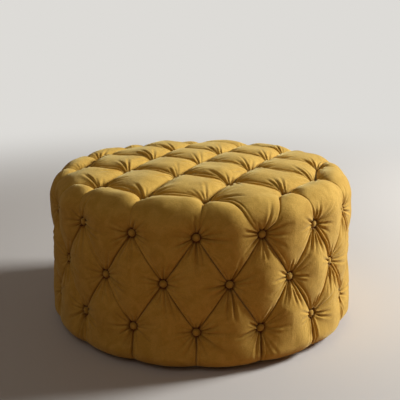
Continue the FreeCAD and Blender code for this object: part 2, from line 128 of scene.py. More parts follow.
class TuffetVelvet(bpy.types.PropertyGroup):
    """Colours of the velvet and the size of its marks."""

    pile: tint("Pile", "Colour of the pile where it stands up", "#DEB454")
    brushed: tint("Brushed Pile", "Colour of the pile where it lies towards the eye", "#CFA345")
    # Dark end of the velvet's darkening: pile pressed in pleats, together with painted shade in creases,
    # a painted shadow round each button and painted shade on the buttons.
    pressed: tint("Pressed Pile", "Colour of the pile that is pressed in a pleat", "#6F4014")
    mark: metres("Nap Mark", "Length of the marks that hands leave in the nap", 0.028)
    tuft: metres("Pile Grain", "Spacing of the pile's grain, drawn four times as coarse as it is", 0.0016)


class TuffetStudio(bpy.types.PropertyGroup):
    """Camera and light."""

    azimuth: degrees("Azimuth", "Camera's angle round the drum", 24.27)
    elevation: degrees("Elevation", "Camera's angle above the horizon", 10.83)
    distance: metres("Distance", "From the camera to its aim", 1.9744)
    aim_height: metres("Aim Height", "Height that the camera aims at", 0.4671)
    aim_side: metres("Aim Side", "How far right of the axis the camera aims", -0.0035)
    lens: bpy.props.FloatProperty(
        name="Lens", description="Focal length in millimetres on a 36 mm sensor", default=66.37
    )
    shift: bpy.props.FloatProperty(
        name="Shift", description="Shift of the frame downwards, as a share of its side", default=0.15
    )
    key: bpy.props.FloatProperty(name="Key Light", description="Power in watts", default=262.0)
    fill: bpy.props.FloatProperty(
        name="Fill Light", description="Strength of the room's light", default=0.080
    )


def smooth(value):
    """Goes from 0 to 1 with level ends."""
    value = np.clip(value, 0.0, 1.0)
    return value * value * (3.0 - 2.0 * value)


class Outline:
    """The drum's outline, as distances run from the centre of the top out and down to the underside."""

    def __init__(self, shape):
        self.radius = shape.radius
        self.dome = shape.dome
        self.shoulder = shape.shoulder
        self.roll = shape.roll
        self.bottom = shape.bottom
        self.shoulder_x = shape.radius - shape.shoulder
        self.dome_z = shape.crown - shape.dome
        reach = shape.dome - shape.shoulder
        self.shoulder_z = self.dome_z + math.sqrt(reach**2 - self.shoulder_x**2)
        self.lean = math.asin(self.shoulder_x / reach)
        self.roll_x = shape.radius - shape.roll
        self.roll_z = shape.bottom + shape.roll
        self.dome_run = shape.dome * self.lean
        self.side_run = self.dome_run + shape.shoulder * (math.pi / 2 - self.lean)
        self.roll_run = self.side_run + self.shoulder_z - self.roll_z
        self.under_run = self.roll_run + shape.roll * math.pi / 2

    def section(self, run):
        """Radius, height and outward direction at distances along the outline."""
        run = np.asarray(run, float)
        dome = np.clip(run, 0.0, self.dome_run) / self.dome
        over = np.clip(run - self.dome_run, 0.0, self.side_run - self.dome_run)
        bend = self.lean + over / self.shoulder
        turn = np.clip(run - self.roll_run, 0.0, self.under_run - self.roll_run) / self.roll
        zero = np.zeros_like(run)
        one = np.ones_like(run)
        parts = [run < self.dome_run, run < self.side_run, run < self.roll_run, run < self.under_run]
        radius = [
            self.dome * np.sin(dome),
            self.shoulder_x + self.shoulder * np.sin(bend),
            self.radius * one,
            self.roll_x + self.roll * np.cos(turn),
        ]
        height = [
            self.dome_z + self.dome * np.cos(dome),
            self.shoulder_z + self.shoulder * np.cos(bend),
            self.shoulder_z + self.side_run - run,
            self.roll_z - self.roll * np.sin(turn),
        ]
        across = [np.sin(dome), np.sin(bend), one, np.cos(turn)]
        upward = [np.cos(dome), np.cos(bend), zero, -np.sin(turn)]
        return (
            np.select(parts, radius, self.roll_x + self.under_run - run),
            np.select(parts, height, self.bottom),
            np.select(parts, across, 0.0),
            np.select(parts, upward, -1.0),
        )

    def at(self, places):
        """Points of the outline and outward directions there, for rows of run and angle."""
        radius, height, across, upward = self.section(places[:, 0])
        turned = np.stack([np.sin(places[:, 1]), -np.cos(places[:, 1])], axis=1)
        points = np.column_stack([turned * radius[:, None], height])
        return points, np.column_stack([turned * across[:, None], upward])

    def nearest(self, points):
        """Rows of run and angle for the places of the outline nearest to points above its roll."""
        radius = np.hypot(points[:, 0], points[:, 1])
        across = radius - self.shoulder_x
        above = points[:, 2] - self.shoulder_z
        dome = np.arctan2(radius, points[:, 2] - self.dome_z)
        bend = np.arctan2(across, above)
        on_dome = across * math.cos(self.lean) <= above * math.sin(self.lean)
        over = self.dome_run + (bend - self.lean) * self.shoulder
        run = np.where(above <= 0.0, self.side_run - above, np.where(on_dome, dome * self.dome, over))
        return np.column_stack([run, np.arctan2(points[:, 0], -points[:, 1])])


class Knot:
    """A button's place on the outline, or the end of a pleat on the bottom edge."""

    def __init__(self, outline, name, run, angle, floor=0.0, upright=False):
        self.name = name
        self.place = np.array([run, angle])
        points, outs = outline.at(self.place[None])
        self.base = points[0]
        self.out = np.array([0.0, 0.0, 1.0]) if upright else outs[0]
        self.floor = floor
        self.upright = upright


def lay_knots(outline, shape, tufting):
    """All knots by name: the top's lattice, three staggered rows and the ends of the lowest pleats."""
    knots = {}
    for i in range(-2, 3):
        for j in range(-2, 3):
            if abs(i) + abs(j) > 3:
                continue
            radius = shape.pitch * math.hypot(i, j)
            if max(abs(i), abs(j)) == 2:
                radius = shape.edge_ring
            run = outline.dome * math.asin(radius / outline.dome)
            name = ("top", i, j)
            knots[name] = Knot(outline, name, run, math.atan2(j, i), tufting.top_pit, True)
    step = math.tau / shape.columns
    for number, row in enumerate(SIDE_ROWS):
        height = box_middle(row + "_buttons").z
        run = outline.side_run + outline.shoulder_z - height
        for column in range(shape.columns):
            angle = (column + (0.5 if number == 1 else 0.0)) * step
            name = (row, column)
            knots[name] = Knot(outline, name, run, angle, tufting.side_pit)
    for column in range(shape.columns):
        name = ("base", column)
        knots[name] = Knot(outline, name, outline.under_run, column * step)
    return knots


def lay_pillows(columns):
    """The corners of every pillow, by knot name, and the knots between which each has a tuck."""
    pillows = []
    for i in range(-2, 2):
        for j in range(-2, 2):
            corners = [("top", i, j), ("top", i, j + 1), ("top", i + 1, j + 1), ("top", i + 1, j)]
            if all(abs(c[1]) + abs(c[2]) < 4 for c in corners):
                pillows.append((corners, (corners[2], corners[3])))
    for quarter in range(4):
        step = quarter * columns // 4
        rim = [("upper_side", (step + n) % columns) for n in range(5)]
        below = [("middle_side", (step + n) % columns) for n in range(4)]
        front, near, inner, far, side = [
            turned(place, quarter) for place in [(2, 0), (2, 1), (1, 1), (1, 2), (0, 2)]
        ]
        pillows.append(([inner, far, rim[2], near], (rim[2], near)))
        pillows.append(([front, near, rim[1], below[0], rim[0]], (below[0], rim[0])))
        pillows.append(([near, rim[2], below[1], rim[1]], (below[1], rim[1])))
        pillows.append(([far, rim[3], below[2], rim[2]], (below[2], rim[2])))
        pillows.append(([far, side, rim[4], below[3], rim[3]], (below[3], rim[3])))
    for column in range(columns):
        following = (column + 1) % columns
        upper, lower = ("upper_side", column), ("lower_side", column)
        left, right = ("middle_side", (column - 1) % columns), ("middle_side", column)
        pillows.append(([upper, right, lower, left], (lower, left)))
        base = [("base", column), ("base", following)]
        ends = [right, ("lower_side", following), base[1], base[0], lower]
        pillows.append((ends, (base[0], lower)))
    return pillows


def turned(place, quarter):
    """A knot's name in the top's lattice after quarter turns about the drum's axis."""
    i, j = place
    for _ in range(quarter):
        i, j = -j, i
    return ("top", i, j)


def reach(points, path):
    """Distance of each point from a path, and the share of the path at which it is nearest."""
    best = np.full(len(points), np.inf)
    share = np.zeros(len(points))
    for number, (start, end) in enumerate(zip(path[:-1], path[1:])):
        step = end - start
        offset = points - start
        along = np.clip(offset @ step / (step @ step), 0.0, 1.0)
        gap = np.linalg.norm(offset - along[:, None] * step, axis=1)
        nearer = gap < best
        best[nearer] = gap[nearer]
        share[nearer] = (number + along[nearer]) / (len(path) - 1)
    return best, share


# Points that stand for a pleat when distances are taken, and how mesh lines crowd towards pleats.
PATH_POINTS = 17
EDGE_CROWDING = 1.4


class Net:
    """Points on the outline and the quads between them, with one grid for each corner of each pillow."""

    def __init__(self, outline, knots, steps):
        self.outline = outline
        self.knots = knots
        self.steps = steps
        self.shares = np.linspace(0.0, 1.0, steps + 1) ** EDGE_CROWDING
        self.count = 0
        self.rows = []
        self.quads = []
        self.owned = []
        self.knot_ids = {name: self.add(knot.place[None])[0] for name, knot in knots.items()}
        self.halves = {}

    def add(self, places):
        ids = np.arange(self.count, self.count + len(places))
        self.rows.append(places)
        self.count += len(places)
        return ids

    def places(self):
        return np.concatenate(self.rows)

    def beside(self, a, b):
        """The places of two knots of the side, with the second angle unwound to lie beside the first."""
        start, end = self.knots[a].place, self.knots[b].place.copy()
        end[1] = start[1] + (end[1] - start[1] + math.pi) % math.tau - math.pi
        return start, end

    def path(self, a, b, shares):
        """Places along the pleat from one knot to another."""
        if not (self.knots[a].upright or self.knots[b].upright):
            start, end = self.beside(a, b)
            return start + np.outer(shares, end - start)
        start, end = self.knots[a].base, self.knots[b].base
        return self.outline.nearest(start + np.outer(shares, end - start))

    def half(self, a, b):
        """Ids and places from a knot to the middle of its pleat to another knot."""
        if (a, b) not in self.halves:
            middle = self.path(a, b, [0.5])
            middle_id = self.add(middle)
            for start, end in [(a, b), (b, a)]:
                inner = self.path(start, end, self.shares[1:-1] / 2)
                ids = np.concatenate([[self.knot_ids[start]], self.add(inner), middle_id])
                places = np.concatenate([self.knots[start].place[None], inner, middle])
                self.halves[start, end] = (ids, places)
        return self.halves[a, b]

    def pillow(self, corners):
        """Adds the grids of one pillow and returns the ids of the points inside it."""
        first = self.count
        on_side = not any(self.knots[name].upright for name in corners)
        sides = [(a, b) for a, b in zip(corners, corners[1:] + corners[:1])]
        if on_side:
            near = np.array([self.beside(corners[0], name)[1] for name in corners])
            centre = near.mean(0)
        else:
            bases = np.array([self.knots[name].base for name in corners])
            centre = self.outline.nearest(bases.mean(0)[None])[0]
        halves = [(self.half(a, b), self.half(b, a)) for a, b in sides]
        centre_id = self.add(centre[None])
        spokes = []
        for (ids, places), _ in halves:
            middle = places[-1]
            inner = self.between(middle, centre, on_side)[1:-1]
            spokes.append((np.concatenate([[ids[-1]], self.add(inner), centre_id]), middle))
        for number in range(len(corners)):
            low, left = halves[number][0], halves[number - 1][1]
            right, top = spokes[number], spokes[number - 1]
            self.patch(low, left, right[0], top[0], centre, on_side)
        self.owned.append(np.arange(first, self.count))
        return self.owned[-1]

    def between(self, start, end, on_side):
        """Places from one place to another, crowded towards the first."""
        if on_side:
            end = self.unwound(end, start)
            return start + np.outer(self.shares, end - start)
        ends, _ = self.outline.at(np.array([start, end]))
        return self.outline.nearest(ends[0] + np.outer(self.shares, ends[1] - ends[0]))

    @staticmethod
    def unwound(place, beside):
        place = place.copy()
        place[1] = beside[1] + (place[1] - beside[1] + math.pi) % math.tau - math.pi
        return place

    def patch(self, low, left, right_ids, top_ids, centre, on_side):
        """One corner's grid, bounded by two half pleats and two lines to the centre."""
        low_ids, low_places = low
        left_ids, left_places = left
        s = self.shares[:, None, None]
        t = self.shares[None, :, None]
        if on_side:
            corner = low_places[0]
            middles = [self.unwound(low_places[-1], corner), self.unwound(left_places[-1], corner)]
            inner = self.unwound(centre, corner)
            grid = (1 - s) * (1 - t) * corner + s * (1 - t) * middles[0]
            grid = grid + (1 - s) * t * middles[1] + s * t * inner
        else:
            lines = [low_places, left_places]
            lines.append(self.between(low_places[-1], centre, False))
            lines.append(self.between(left_places[-1], centre, False))
            low_line, left_line, right_line, top_line = [self.outline.at(line)[0] for line in lines]
            grid = (1 - t) * low_line[:, None] + t * top_line[:, None]
            grid = grid + (1 - s) * left_line[None] + s * right_line[None]
            grid = grid - (1 - s) * (1 - t) * low_line[0] - s * (1 - t) * low_line[-1]
            grid = grid - (1 - s) * t * left_line[-1] - s * t * top_line[-1]
            shape = grid.shape
            grid = self.outline.nearest(grid.reshape(-1, 3)).reshape(shape[0], shape[1], 2)
        ids = np.empty((self.steps + 1, self.steps + 1), int)
        ids[:, 0] = low_ids
        ids[0, :] = left_ids
        ids[-1, :] = right_ids
        ids[:, -1] = top_ids
        inside = grid[1:-1, 1:-1].reshape(-1, 2)
        ids[1:-1, 1:-1] = self.add(inside).reshape(self.steps - 1, self.steps - 1)
        self.quads.append(quads_of(ids))

    def faces(self, points, outs):
        """The quads, each patch wound so that it faces outwards."""
        facing = []
        for quads in self.quads:
            across = points[quads[:, 2]] - points[quads[:, 0]]
            back = points[quads[:, 3]] - points[quads[:, 1]]
            outward = (np.cross(across, back) * outs[quads[:, 0]]).sum()
            facing.append(quads if outward > 0 else quads[:, ::-1])
        return np.concatenate(facing)

    def bottom_loop(self, columns):
        """Ids round the bottom edge, once round the drum."""
        loop = []
        for column in range(columns):
            a, b = ("base", column), ("base", (column + 1) % columns)
            loop.append(self.half(a, b)[0][:-1])
            loop.append(self.half(b, a)[0][:0:-1])
        return np.concatenate(loop)


def quads_of(ids):
    """The quads of a grid of ids, one row each."""
    return np.stack([ids[:-1, :-1], ids[1:, :-1], ids[1:, 1:], ids[:-1, 1:]], axis=-1).reshape(-1, 4)


# A pillow's section: how evenly it blends the distances from its pleats, and how full it is.
SOFTNESS = 5.0
FULLNESS = 2.0
NO_DIVISION_BY_ZERO = 1e-7
# The slit in the middle of a pleat, and the strip folded over beside it, which is larger on the top.
CREASE_WIDTH = 0.0018
TUCK_CREASE = 0.0024
TUCK_CREASE_WIDTH = 0.0019
TUCK_START = 0.002
NARROWEST_TUCK = 1e-5
TOP_TUCK = 1.35
# Values at runs along the outline, whose upright side starts at 0.44 and ends at 0.77.
CROWN_RUNS = [0.0, 0.33, 0.39, 0.46, 0.52, 0.80]
CROWN_WIDTHS = [0.054, 0.054, 0.050, 0.048, 0.046, 0.048]
CROWN_LIFTS = [0.0080, 0.0080, 0.0040, 0.0015, 0.0025, 0.0020]
CROWN_SPAN = 0.066
VALLEY_RUNS = [0.0, 0.31, 0.35, 0.385, 0.43, 0.47, 0.68, 0.745, 0.777]
VALLEY_DEPTHS = [0.0170, 0.0160, 0.0065, 0.0026, 0.0035, 0.0115, 0.0120, 0.0085, 0.0]
SLIT_RUNS = [0.0, 0.34, 0.39, 0.43, 0.46]
SLIT_SHARES = [1.0, 1.0, 0.25, 0.25, 1.0]
# Uneven fullness is a sum of waves. Its random numbers come from a stream that no button uses.
WAVES = 14
WAVE_LENGTHS = (0.05, 0.13)
WAVE_HEIGHT = 0.00035
WAVE_STREAM = 1000
# The cup that a button sits in, and how far from it the velvet leans to the button's axis.
BUTTON_RADIUS = 0.0095
CUP_RADIUS = 0.0087
CUP_WALL = 0.0055
CUP_LIFT = 0.0004
AXIS_REACH = 0.03
# Pits: their share of a button's depth in the pleats, then the funnel round a button, as its share
# of that depth, its spread, and how far the pleats' own pits spread.
PIT_SHARE = 0.88
TOP_FUNNEL = (0.50, 0.014, 0.65)
SIDE_FUNNEL = (0.88, 0.029, 1.0)
# How far the velvet is darkened: in a slit and a flute partly by crushed pile and partly by painted
# shade, and in the ring round a button by a painted shadow of its cup.
SLIT_PRESS_AND_SHADE = 0.62
PAINTED_CUP_SHADOW = 0.8
CUP_SHADOW_WIDTH = 0.0042
FLUTE_PRESS_AND_SHADE = 0.45
# Flutes: how far they reach from a button, the width of their crease there and how it grows, and
# the rounded fold beside the crease, as shares of that width.
GATHER_REACH = 0.095
FLUTE_START = 0.0013
FLUTE_SPREAD = 0.030
FLUTE_BEND = 10.0
FLUTE_SHARE = 0.5
FLUTE_PLACE = 2.3
FLUTE_WIDTH = 1.3
FLUTE_FADE = 0.7
FLUTE_RISE = 0.006
UNDER_BUTTON = 0.8 * BUTTON_RADIUS
CREASE_SHARPNESS = 1.25
STRONGEST_FOLD = 1.5
# Flutes of the top's outer buttons that face the drum's edge are shorter and weaker.
EDGE_RING_INSIDE = 0.30
EDGE_FACING = 0.3
EDGE_SHORTER = 0.55
EDGE_WEAKER = 0.5
# Bundles of flutes: first and last direction in degrees, number and sway, then the least and the
# greatest length, and the least and the greatest strength.
QUARTER_TURNS = [0.0, 90.0, 180.0, 270.0]
TOP_BUNDLES = [
    (22.5, 67.5, 3, 7.0, 0.040, 0.090, 0.45, 1.15),
    (-10.0, 10.0, 2, 3.0, 0.035, 0.060, 0.25, 0.5),
]
SIDE_BUNDLES = [
    (-112.0, -68.0, 4, 6.0, 0.050, 0.095, 0.45, 1.3),
    (-26.0, 20.0, 3, 6.0, 0.045, 0.095, 0.45, 1.3),
    (66.0, 114.0, 3, 6.0, 0.022, 0.055, 0.45, 1.3),
    (154.0, 206.0, 3, 6.0, 0.038, 0.070, 0.45, 1.3),
    (-143.0, -111.0, 2, 3.0, 0.045, 0.08, 0.4, 0.8),
    (37.0, 69.0, 2, 3.0, 0.045, 0.08, 0.4, 0.8),
]


class Padding:
    """How far the velvet's face lies from the outline, at the points of a net."""

    def __init__(self, outline, knots, pillows, tufting, steps, columns, under=False):
        self.outline = outline
        self.net = Net(outline, knots, steps)
        self.knots = knots
        self.tufting = tufting
        insides = [self.net.pillow(corners) for corners, _ in pillows]
        self.places = self.net.places()
        self.points, self.outs = outline.at(self.places)
        count = len(self.points)
        self.gap = np.zeros(count)
        self.raised = np.zeros(count)
        for (corners, tuck), ids in zip(pillows, insides):
            self.fill_pillow(corners, tuck, ids)
        self.loop = self.net.bottom_loop(columns)
        run = self.places[:, 0]
        self.fade = 1.0 - smooth((run - outline.roll_run) / (outline.under_run - outline.roll_run))
        width = np.interp(run, CROWN_RUNS, CROWN_WIDTHS)
        rise = np.clip(1.0 - self.gap / width, 0.0, 1.0)
        self.sunk = 1.0 - (1.0 - rise**FULLNESS) ** (1.0 / FULLNESS)
        self.depth = self.pit_depths(np.interp(run, VALLEY_RUNS, VALLEY_DEPTHS)) * self.sunk
        self.depth += self.funnel * (1.0 - self.sunk)
        crown = 1.0 - (1.0 - np.clip(self.gap / CROWN_SPAN, 0.0, 1.0)) ** 2
        self.depth -= crown * np.interp(run, CROWN_RUNS, CROWN_LIFTS)
        crease = np.exp(-((self.gap / CREASE_WIDTH) ** 2)) * np.interp(run, SLIT_RUNS, SLIT_SHARES)
        self.depth += tufting.slit * crease * self.fade
        self.depth -= self.raised * self.fade * np.interp(run, SLIT_RUNS, SLIT_SHARES)
        self.depth += (self.clearance() if under else self.gathers()) * self.fade
        self.depth += self.unevenness() * (1.0 - self.sunk) * self.fade
        self.into_cups()

    def path_points(self, a, b):
        places = self.net.path(a, b, np.linspace(0.0, 1.0, PATH_POINTS))
        return self.net.outline.at(places)[0]

    def fill_pillow(self, corners, tuck, ids):
        """Distances from the pleats round one pillow, and the tuck along one of them."""
        points = self.points[ids]
        total = np.zeros(len(ids))
        for a, b in zip(corners, corners[1:] + corners[:1]):
            if a[0] == "base" and b[0] == "base":
                continue
            gap, share = reach(points, self.path_points(a, b))
            total += (gap + NO_DIVISION_BY_ZERO) ** -SOFTNESS
            if (a, b) == tuck:
                on_top = self.knots[a].upright and self.knots[b].upright
                self.raised[ids] += self.tuck_rise(gap, share, TOP_TUCK if on_top else 1.0)
        self.gap[ids] = total ** (-1.0 / SOFTNESS)
        for a, b in zip(corners, corners[1:] + corners[:1]):
            if a[0] != "base" or b[0] != "base":
                for pair in [(a, b), (b, a)]:
                    self.gap[self.net.halves[pair][0]] = 0.0
                    self.raised[self.net.halves[pair][0]] = 0.0

    def tuck_rise(self, gap, share, stretch):
        """A strip of velvet folded over beside a pleat, narrowing towards its ends."""
        taper = np.sqrt(np.clip(np.sin(math.pi * share), 0.0, 1.0))
        width = self.tufting.tuck_width * stretch * taper + NARROWEST_TUCK
        strip = np.sin(math.pi * np.clip(gap / width, 0.0, 1.0)) * self.tufting.tuck_rise * stretch
        crease = TUCK_CREASE * np.exp(-(((gap - width) / TUCK_CREASE_WIDTH) ** 2))
        return (strip - crease) * taper * smooth(gap / TUCK_START)

    def pit_depths(self, valley):
        """Depth that the pleats have at each point, growing towards the nearest button."""
        extra = np.zeros(len(self.points))
        self.funnel = np.zeros(len(self.points))
        self.near = np.full(len(self.points), np.inf)
        self.nearest = np.zeros(len(self.points), int)
        self.buttons = [knot for knot in self.knots.values() if knot.floor]
        for number, knot in enumerate(self.buttons):
            gap = np.linalg.norm(self.points - knot.base, axis=1)
            away = np.clip(gap - BUTTON_RADIUS, 0.0, None)
            share, spread, steepness = TOP_FUNNEL if knot.upright else SIDE_FUNNEL
            fading = np.exp(-away / (self.tufting.pit_spread * steepness))
            extra = np.maximum(extra, (knot.floor * PIT_SHARE - valley) * fading)
            self.funnel = np.maximum(self.funnel, knot.floor * share * np.exp(-away / spread))
            nearer = gap < self.near
            self.near[nearer] = gap[nearer]
            self.nearest[nearer] = number
        return valley + extra

    def gathers(self):
        """Flutes that run out from each button: crisp creases with a rounded fold on each side."""
        depth = np.zeros(len(self.points))
        self.folded = np.zeros(len(self.points))
        for number, knot in enumerate(self.buttons):
            rng = np.random.default_rng([self.tufting.seed, number])
            near = np.where(np.linalg.norm(self.points - knot.base, axis=1) < GATHER_REACH)[0]
            offset = self.points[near] - knot.base
            if knot.upright:
                along, level = offset[:, 1], offset[:, 0]
            else:
                sideways = np.array([-knot.out[1], knot.out[0], 0.0])
                along, level = offset[:, 2], offset @ sideways
            radius = np.hypot(along, level)
            heading = np.degrees(np.arctan2(along, level))
            for aim, length, strength in gather_rays(knot, rng):
                bend = rng.uniform(-FLUTE_BEND, FLUTE_BEND)
                turn = np.radians(heading - aim - bend * radius / GATHER_REACH)
                off = np.abs(radius * np.sin(turn))
                ahead = np.cos(turn) > 0.0
                width = FLUTE_START + FLUTE_SPREAD * radius
                crease = np.exp(-((off / width) ** CREASE_SHARPNESS))
                beside = (off - FLUTE_PLACE * width) / (FLUTE_WIDTH * width)
                flute = FLUTE_SHARE * np.exp(-(beside**2))
                fade = np.clip(1.0 - radius / length, 0.0, 1.0) ** FLUTE_FADE
                start = smooth((radius - UNDER_BUTTON) / FLUTE_RISE)
                size = strength * fade * start * ahead
                depth[near] += self.tufting.gather * size * (crease - flute)
                self.folded[near] += size * crease
        return depth

    def clearance(self):
        """Depth that keeps a layer under the velvet clear of every flute."""
        nearness = np.clip(1.0 - self.near / GATHER_REACH, 0.0, 1.0)
        return self.tufting.gather * STRONGEST_FOLD * np.sqrt(nearness)

    def unevenness(self):
        """Gentle differences in how full the padding is."""
        rng = np.random.default_rng([self.tufting.seed, WAVE_STREAM])
        total = np.zeros(len(self.points))
        for _ in range(WAVES):
            wave = rng.normal(size=3)
            wave *= math.tau / rng.uniform(*WAVE_LENGTHS) / np.linalg.norm(wave)
            total += np.sin(self.points @ wave + rng.uniform(0.0, math.tau))
        return total * WAVE_HEIGHT

    def into_cups(self):
        """Sinks the velvet into the cup round each button and turns it to the button's axis."""
        floors = np.array([knot.floor for knot in self.buttons])[self.nearest]
        axes = np.array([knot.out for knot in self.buttons])[self.nearest]
        wall = smooth((self.near - CUP_RADIUS) / CUP_WALL)
        self.depth = self.depth * wall + (floors - CUP_LIFT) * (1.0 - wall)
        pull = np.exp(-((self.near / AXIS_REACH) ** 2))[:, None]
        outs = self.outs * (1.0 - pull) + axes * pull
        self.outs = outs / np.linalg.norm(outs, axis=1)[:, None]

    def pressed(self):
        """How dark the velvet is made: crushed pile with painted shade in the slits and flutes, and a
        painted shadow of the cup in the ring round each button.
        """
        slits = np.interp(self.places[:, 0], SLIT_RUNS, SLIT_SHARES)
        crease = np.exp(-((self.gap / CREASE_WIDTH) ** 2)) * slits * self.fade
        ring = np.exp(-(((self.near - BUTTON_RADIUS) / CUP_SHADOW_WIDTH) ** 2))
        return np.clip(crease * SLIT_PRESS_AND_SHADE + ring * PAINTED_CUP_SHADOW + self.folded * FLUTE_PRESS_AND_SHADE, 0.0, 1.0)

    def face(self, under=0.0):
        """The padding's points at a depth under the velvet's face."""
        return self.points - self.outs * (self.depth + under)[:, None]


def gather_rays(knot, rng):
    """Directions in degrees, lengths and strengths of one button's folds."""
    rays = []
    turns, bundles = (QUARTER_TURNS, TOP_BUNDLES) if knot.upright else ([0.0], SIDE_BUNDLES)
    for turn in turns:
        for first, last, count, sway, short, long, weak, strong in bundles:
            for n in range(count):
                aim = turn + first + (last - first) * n / (count - 1) + rng.uniform(-sway, sway)
                rays.append((aim, rng.uniform(short, long), rng.uniform(weak, strong)))
    if knot.upright and math.hypot(knot.base[0], knot.base[1]) > EDGE_RING_INSIDE:
        outward = math.degrees(math.atan2(knot.base[1], knot.base[0]))
        for n, (aim, length, strength) in enumerate(rays):
            if math.cos(math.radians(aim - outward)) > EDGE_FACING:
                rays[n] = (aim, length * EDGE_SHORTER, strength * EDGE_WEAKER)
    return rays


def make_mesh(name, points, faces, attributes=None):
    """A smooth-shaded object from points and faces, which may be rows of ids or lists of them."""
    mesh = bpy.data.meshes.new(name)
    sizes = np.concatenate([np.full(len(f), f.shape[1]) for f in faces])
    corners = np.concatenate([f.reshape(-1) for f in faces]).astype(np.int32)
    mesh.vertices.add(len(points))
    mesh.vertices.foreach_set("co", np.ascontiguousarray(points, np.float32).reshape(-1))
    mesh.loops.add(len(corners))
    mesh.loops.foreach_set("vertex_index", corners)
    mesh.polygons.add(len(sizes))
    mesh.polygons.foreach_set("loop_start", np.concatenate([[0], np.cumsum(sizes)[:-1]]).astype(np.int32))
    mesh.update(calc_edges=True)
    for key, values in (attributes or {}).items():
        layer = mesh.attributes.new(key, "FLOAT", "POINT")
        layer.data.foreach_set("value", np.ascontiguousarray(values, np.float32))
    mesh.polygons.foreach_set("use_smooth", np.ones(len(sizes), bool))
    mesh.validate()
    thing = bpy.data.objects.new(name, mesh)
    bpy.context.collection.objects.link(thing)
    return thing


def finish_piece(thing, material, replaced):
    """Gives a piece its finish and its place in the frame."""
    thing.data.materials.clear()
    thing.data.materials.append(material)
    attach(thing, "root")
    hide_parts(*replaced)
    return thing


def node(tree, kind, inputs=None, **settings):
    """Adds a node, sets its options, and sets or links its inputs."""
    made = tree.nodes.new(kind)
    for name, value in settings.items():
        setattr(made, name, value)
    for name, value in (inputs or {}).items():
        if isinstance(value, bpy.types.NodeSocket):
            tree.links.new(value, made.inputs[name])
        else:
            made.inputs[name].default_value = value
    return made


def new_material(name):
    """An empty material, its tree, its places in metres and the socket that its surface goes to."""
    material = bpy.data.materials.new(name)
    material.use_nodes = True
    tree = material.node_tree
    tree.nodes.clear()
    surface = node(tree, "ShaderNodeOutputMaterial").inputs["Surface"]
    return material, tree, node(tree, "ShaderNodeTexCoord").outputs["Object"], surface


def velvet_material(colours):
    """Cotton velvet, woven with a cut pile: its edges glow and it shows where hands brushed the nap."""
    material, tree, place, surface = new_material(VELVET)
    patterns = []
    for scale, detail, roughness, distortion in [
        (1 / colours.mark, 4.0, 0.55, 0.9),
        (4 / colours.mark, 3.0, 0.6, 1.6),
        (1 / colours.tuft, 2.0, 0.7, 0.0),
    ]:
        inputs = {"Vector": place, "Scale": scale, "Detail": detail, "Roughness": roughness}
        inputs["Distortion"] = distortion
        patterns.append(node(tree, "ShaderNodeTexNoise", inputs).outputs["Fac"])
    marks, streaks, grain = patterns
    inputs = {"Value": marks, "From Min": 0.3, "From Max": 0.7}
    lie = node(tree, "ShaderNodeMapRange", inputs, interpolation_type="SMOOTHSTEP").outputs["Result"]
    ends = {0: lie, 6: tuple(colours.pile), 7: tuple(colours.brushed)}
    brushed = node(tree, "ShaderNodeMix", ends, data_type="RGBA").outputs[2]
    inputs = {"Value": grain, "From Min": 0.3, "From Max": 0.7, "To Min": 0.86, "To Max": 1.14}
    flecks = node(tree, "ShaderNodeMapRange", inputs).outputs["Result"]
    inputs = {0: brushed, "Scale": flecks}
    speckled = node(tree, "ShaderNodeVectorMath", inputs, operation="SCALE").outputs[0]
    # Darkens the pile towards the pressed colour: crushed nap in creases, plus painted shade there, a
    # painted shadow round each button and painted shade on the button caps.
    press = node(tree, "ShaderNodeAttribute", attribute_name="press").outputs["Fac"]
    ends = {0: press, 6: speckled, 7: tuple(colours.pressed)}
    colour = node(tree, "ShaderNodeMix", ends, data_type="RGBA").outputs[2]
    inputs = {0: marks, 1: 0.5, 2: streaks}
    height = node(tree, "ShaderNodeMath", inputs, operation="MULTIPLY_ADD").outputs[0]
    inputs = {"Height": height, "Strength": 0.3, "Distance": 0.0025}
    soft = node(tree, "ShaderNodeBump", inputs).outputs[0]
    inputs = {"Height": grain, "Normal": soft, "Strength": 0.35, "Distance": 0.0006}
    constants = {"Roughness": 0.85, "Specular IOR Level": 0.15}
    constants.update({"Sheen Weight": 0.5, "Sheen Roughness": 0.45, "Sheen Tint": linear("#FFF5B4")})
    fine = node(tree, "ShaderNodeBump", inputs).outputs[0]
    shader = node(tree, "ShaderNodeBsdfPrincipled", {"Base Color": colour, "Normal": fine, **constants})
    tree.links.new(shader.outputs[0], surface)
    return material


def ring(radius, angles, height):
    """Points at a radius and height, one for each angle."""
    heights = np.full(len(angles), height)
    return np.column_stack([radius * np.sin(angles), -radius * np.cos(angles), heights])


def turned_margin(padding, shape, height, rows):
    """Rings of points from the bottom edge to the end of the turned-under margin, and their quads."""
    loop = padding.loop
    angles = padding.places[loop, 1]
    start = len(padding.points)
    ids, rings = [loop], []
    for n in range(1, rows + 1):
        radius = padding.outline.roll_x + (shape.margin - padding.outline.roll_x) * n / rows
        rings.append(ring(radius, angles, height))
        ids.append(start + (n - 1) * len(loop) + np.arange(len(loop)))
    grid = np.array(ids)
    return np.concatenate(rings), quads_of(np.concatenate([grid, grid[:, :1]], axis=1)), ids[-1]


def closed_loop(ids):
    return np.concatenate([ids, ids[:1]])


def skin_back(quads):
    """Faces turned over."""
    return quads[:, ::-1]


def model_padding(scene, steps, under=False):
    """The padding's form at one mesh density, with the velvet's flutes or clear under them."""
    shape, tufting = scene.tuffet_shape, scene.tuffet_tufting
    outline = Outline(shape)
    knots = lay_knots(outline, shape, tufting)
    return Padding(outline, knots, lay_pillows(shape.columns), tufting, steps, shape.columns, under)


VELVET = "Cotton velvet, cut pile"
# Depths under the velvet's face, and how much coarser the mesh of what lies under it is.
VELVET_THICKNESS = 0.0015
SKIN_DEPTH = 0.004
WADDING_DEPTHS = [0.005, 0.0105]
FOAM_DEPTH = 0.011
MARGIN_ROWS = 8
COARSENESS = 4
CUTTER_SIDES = 16


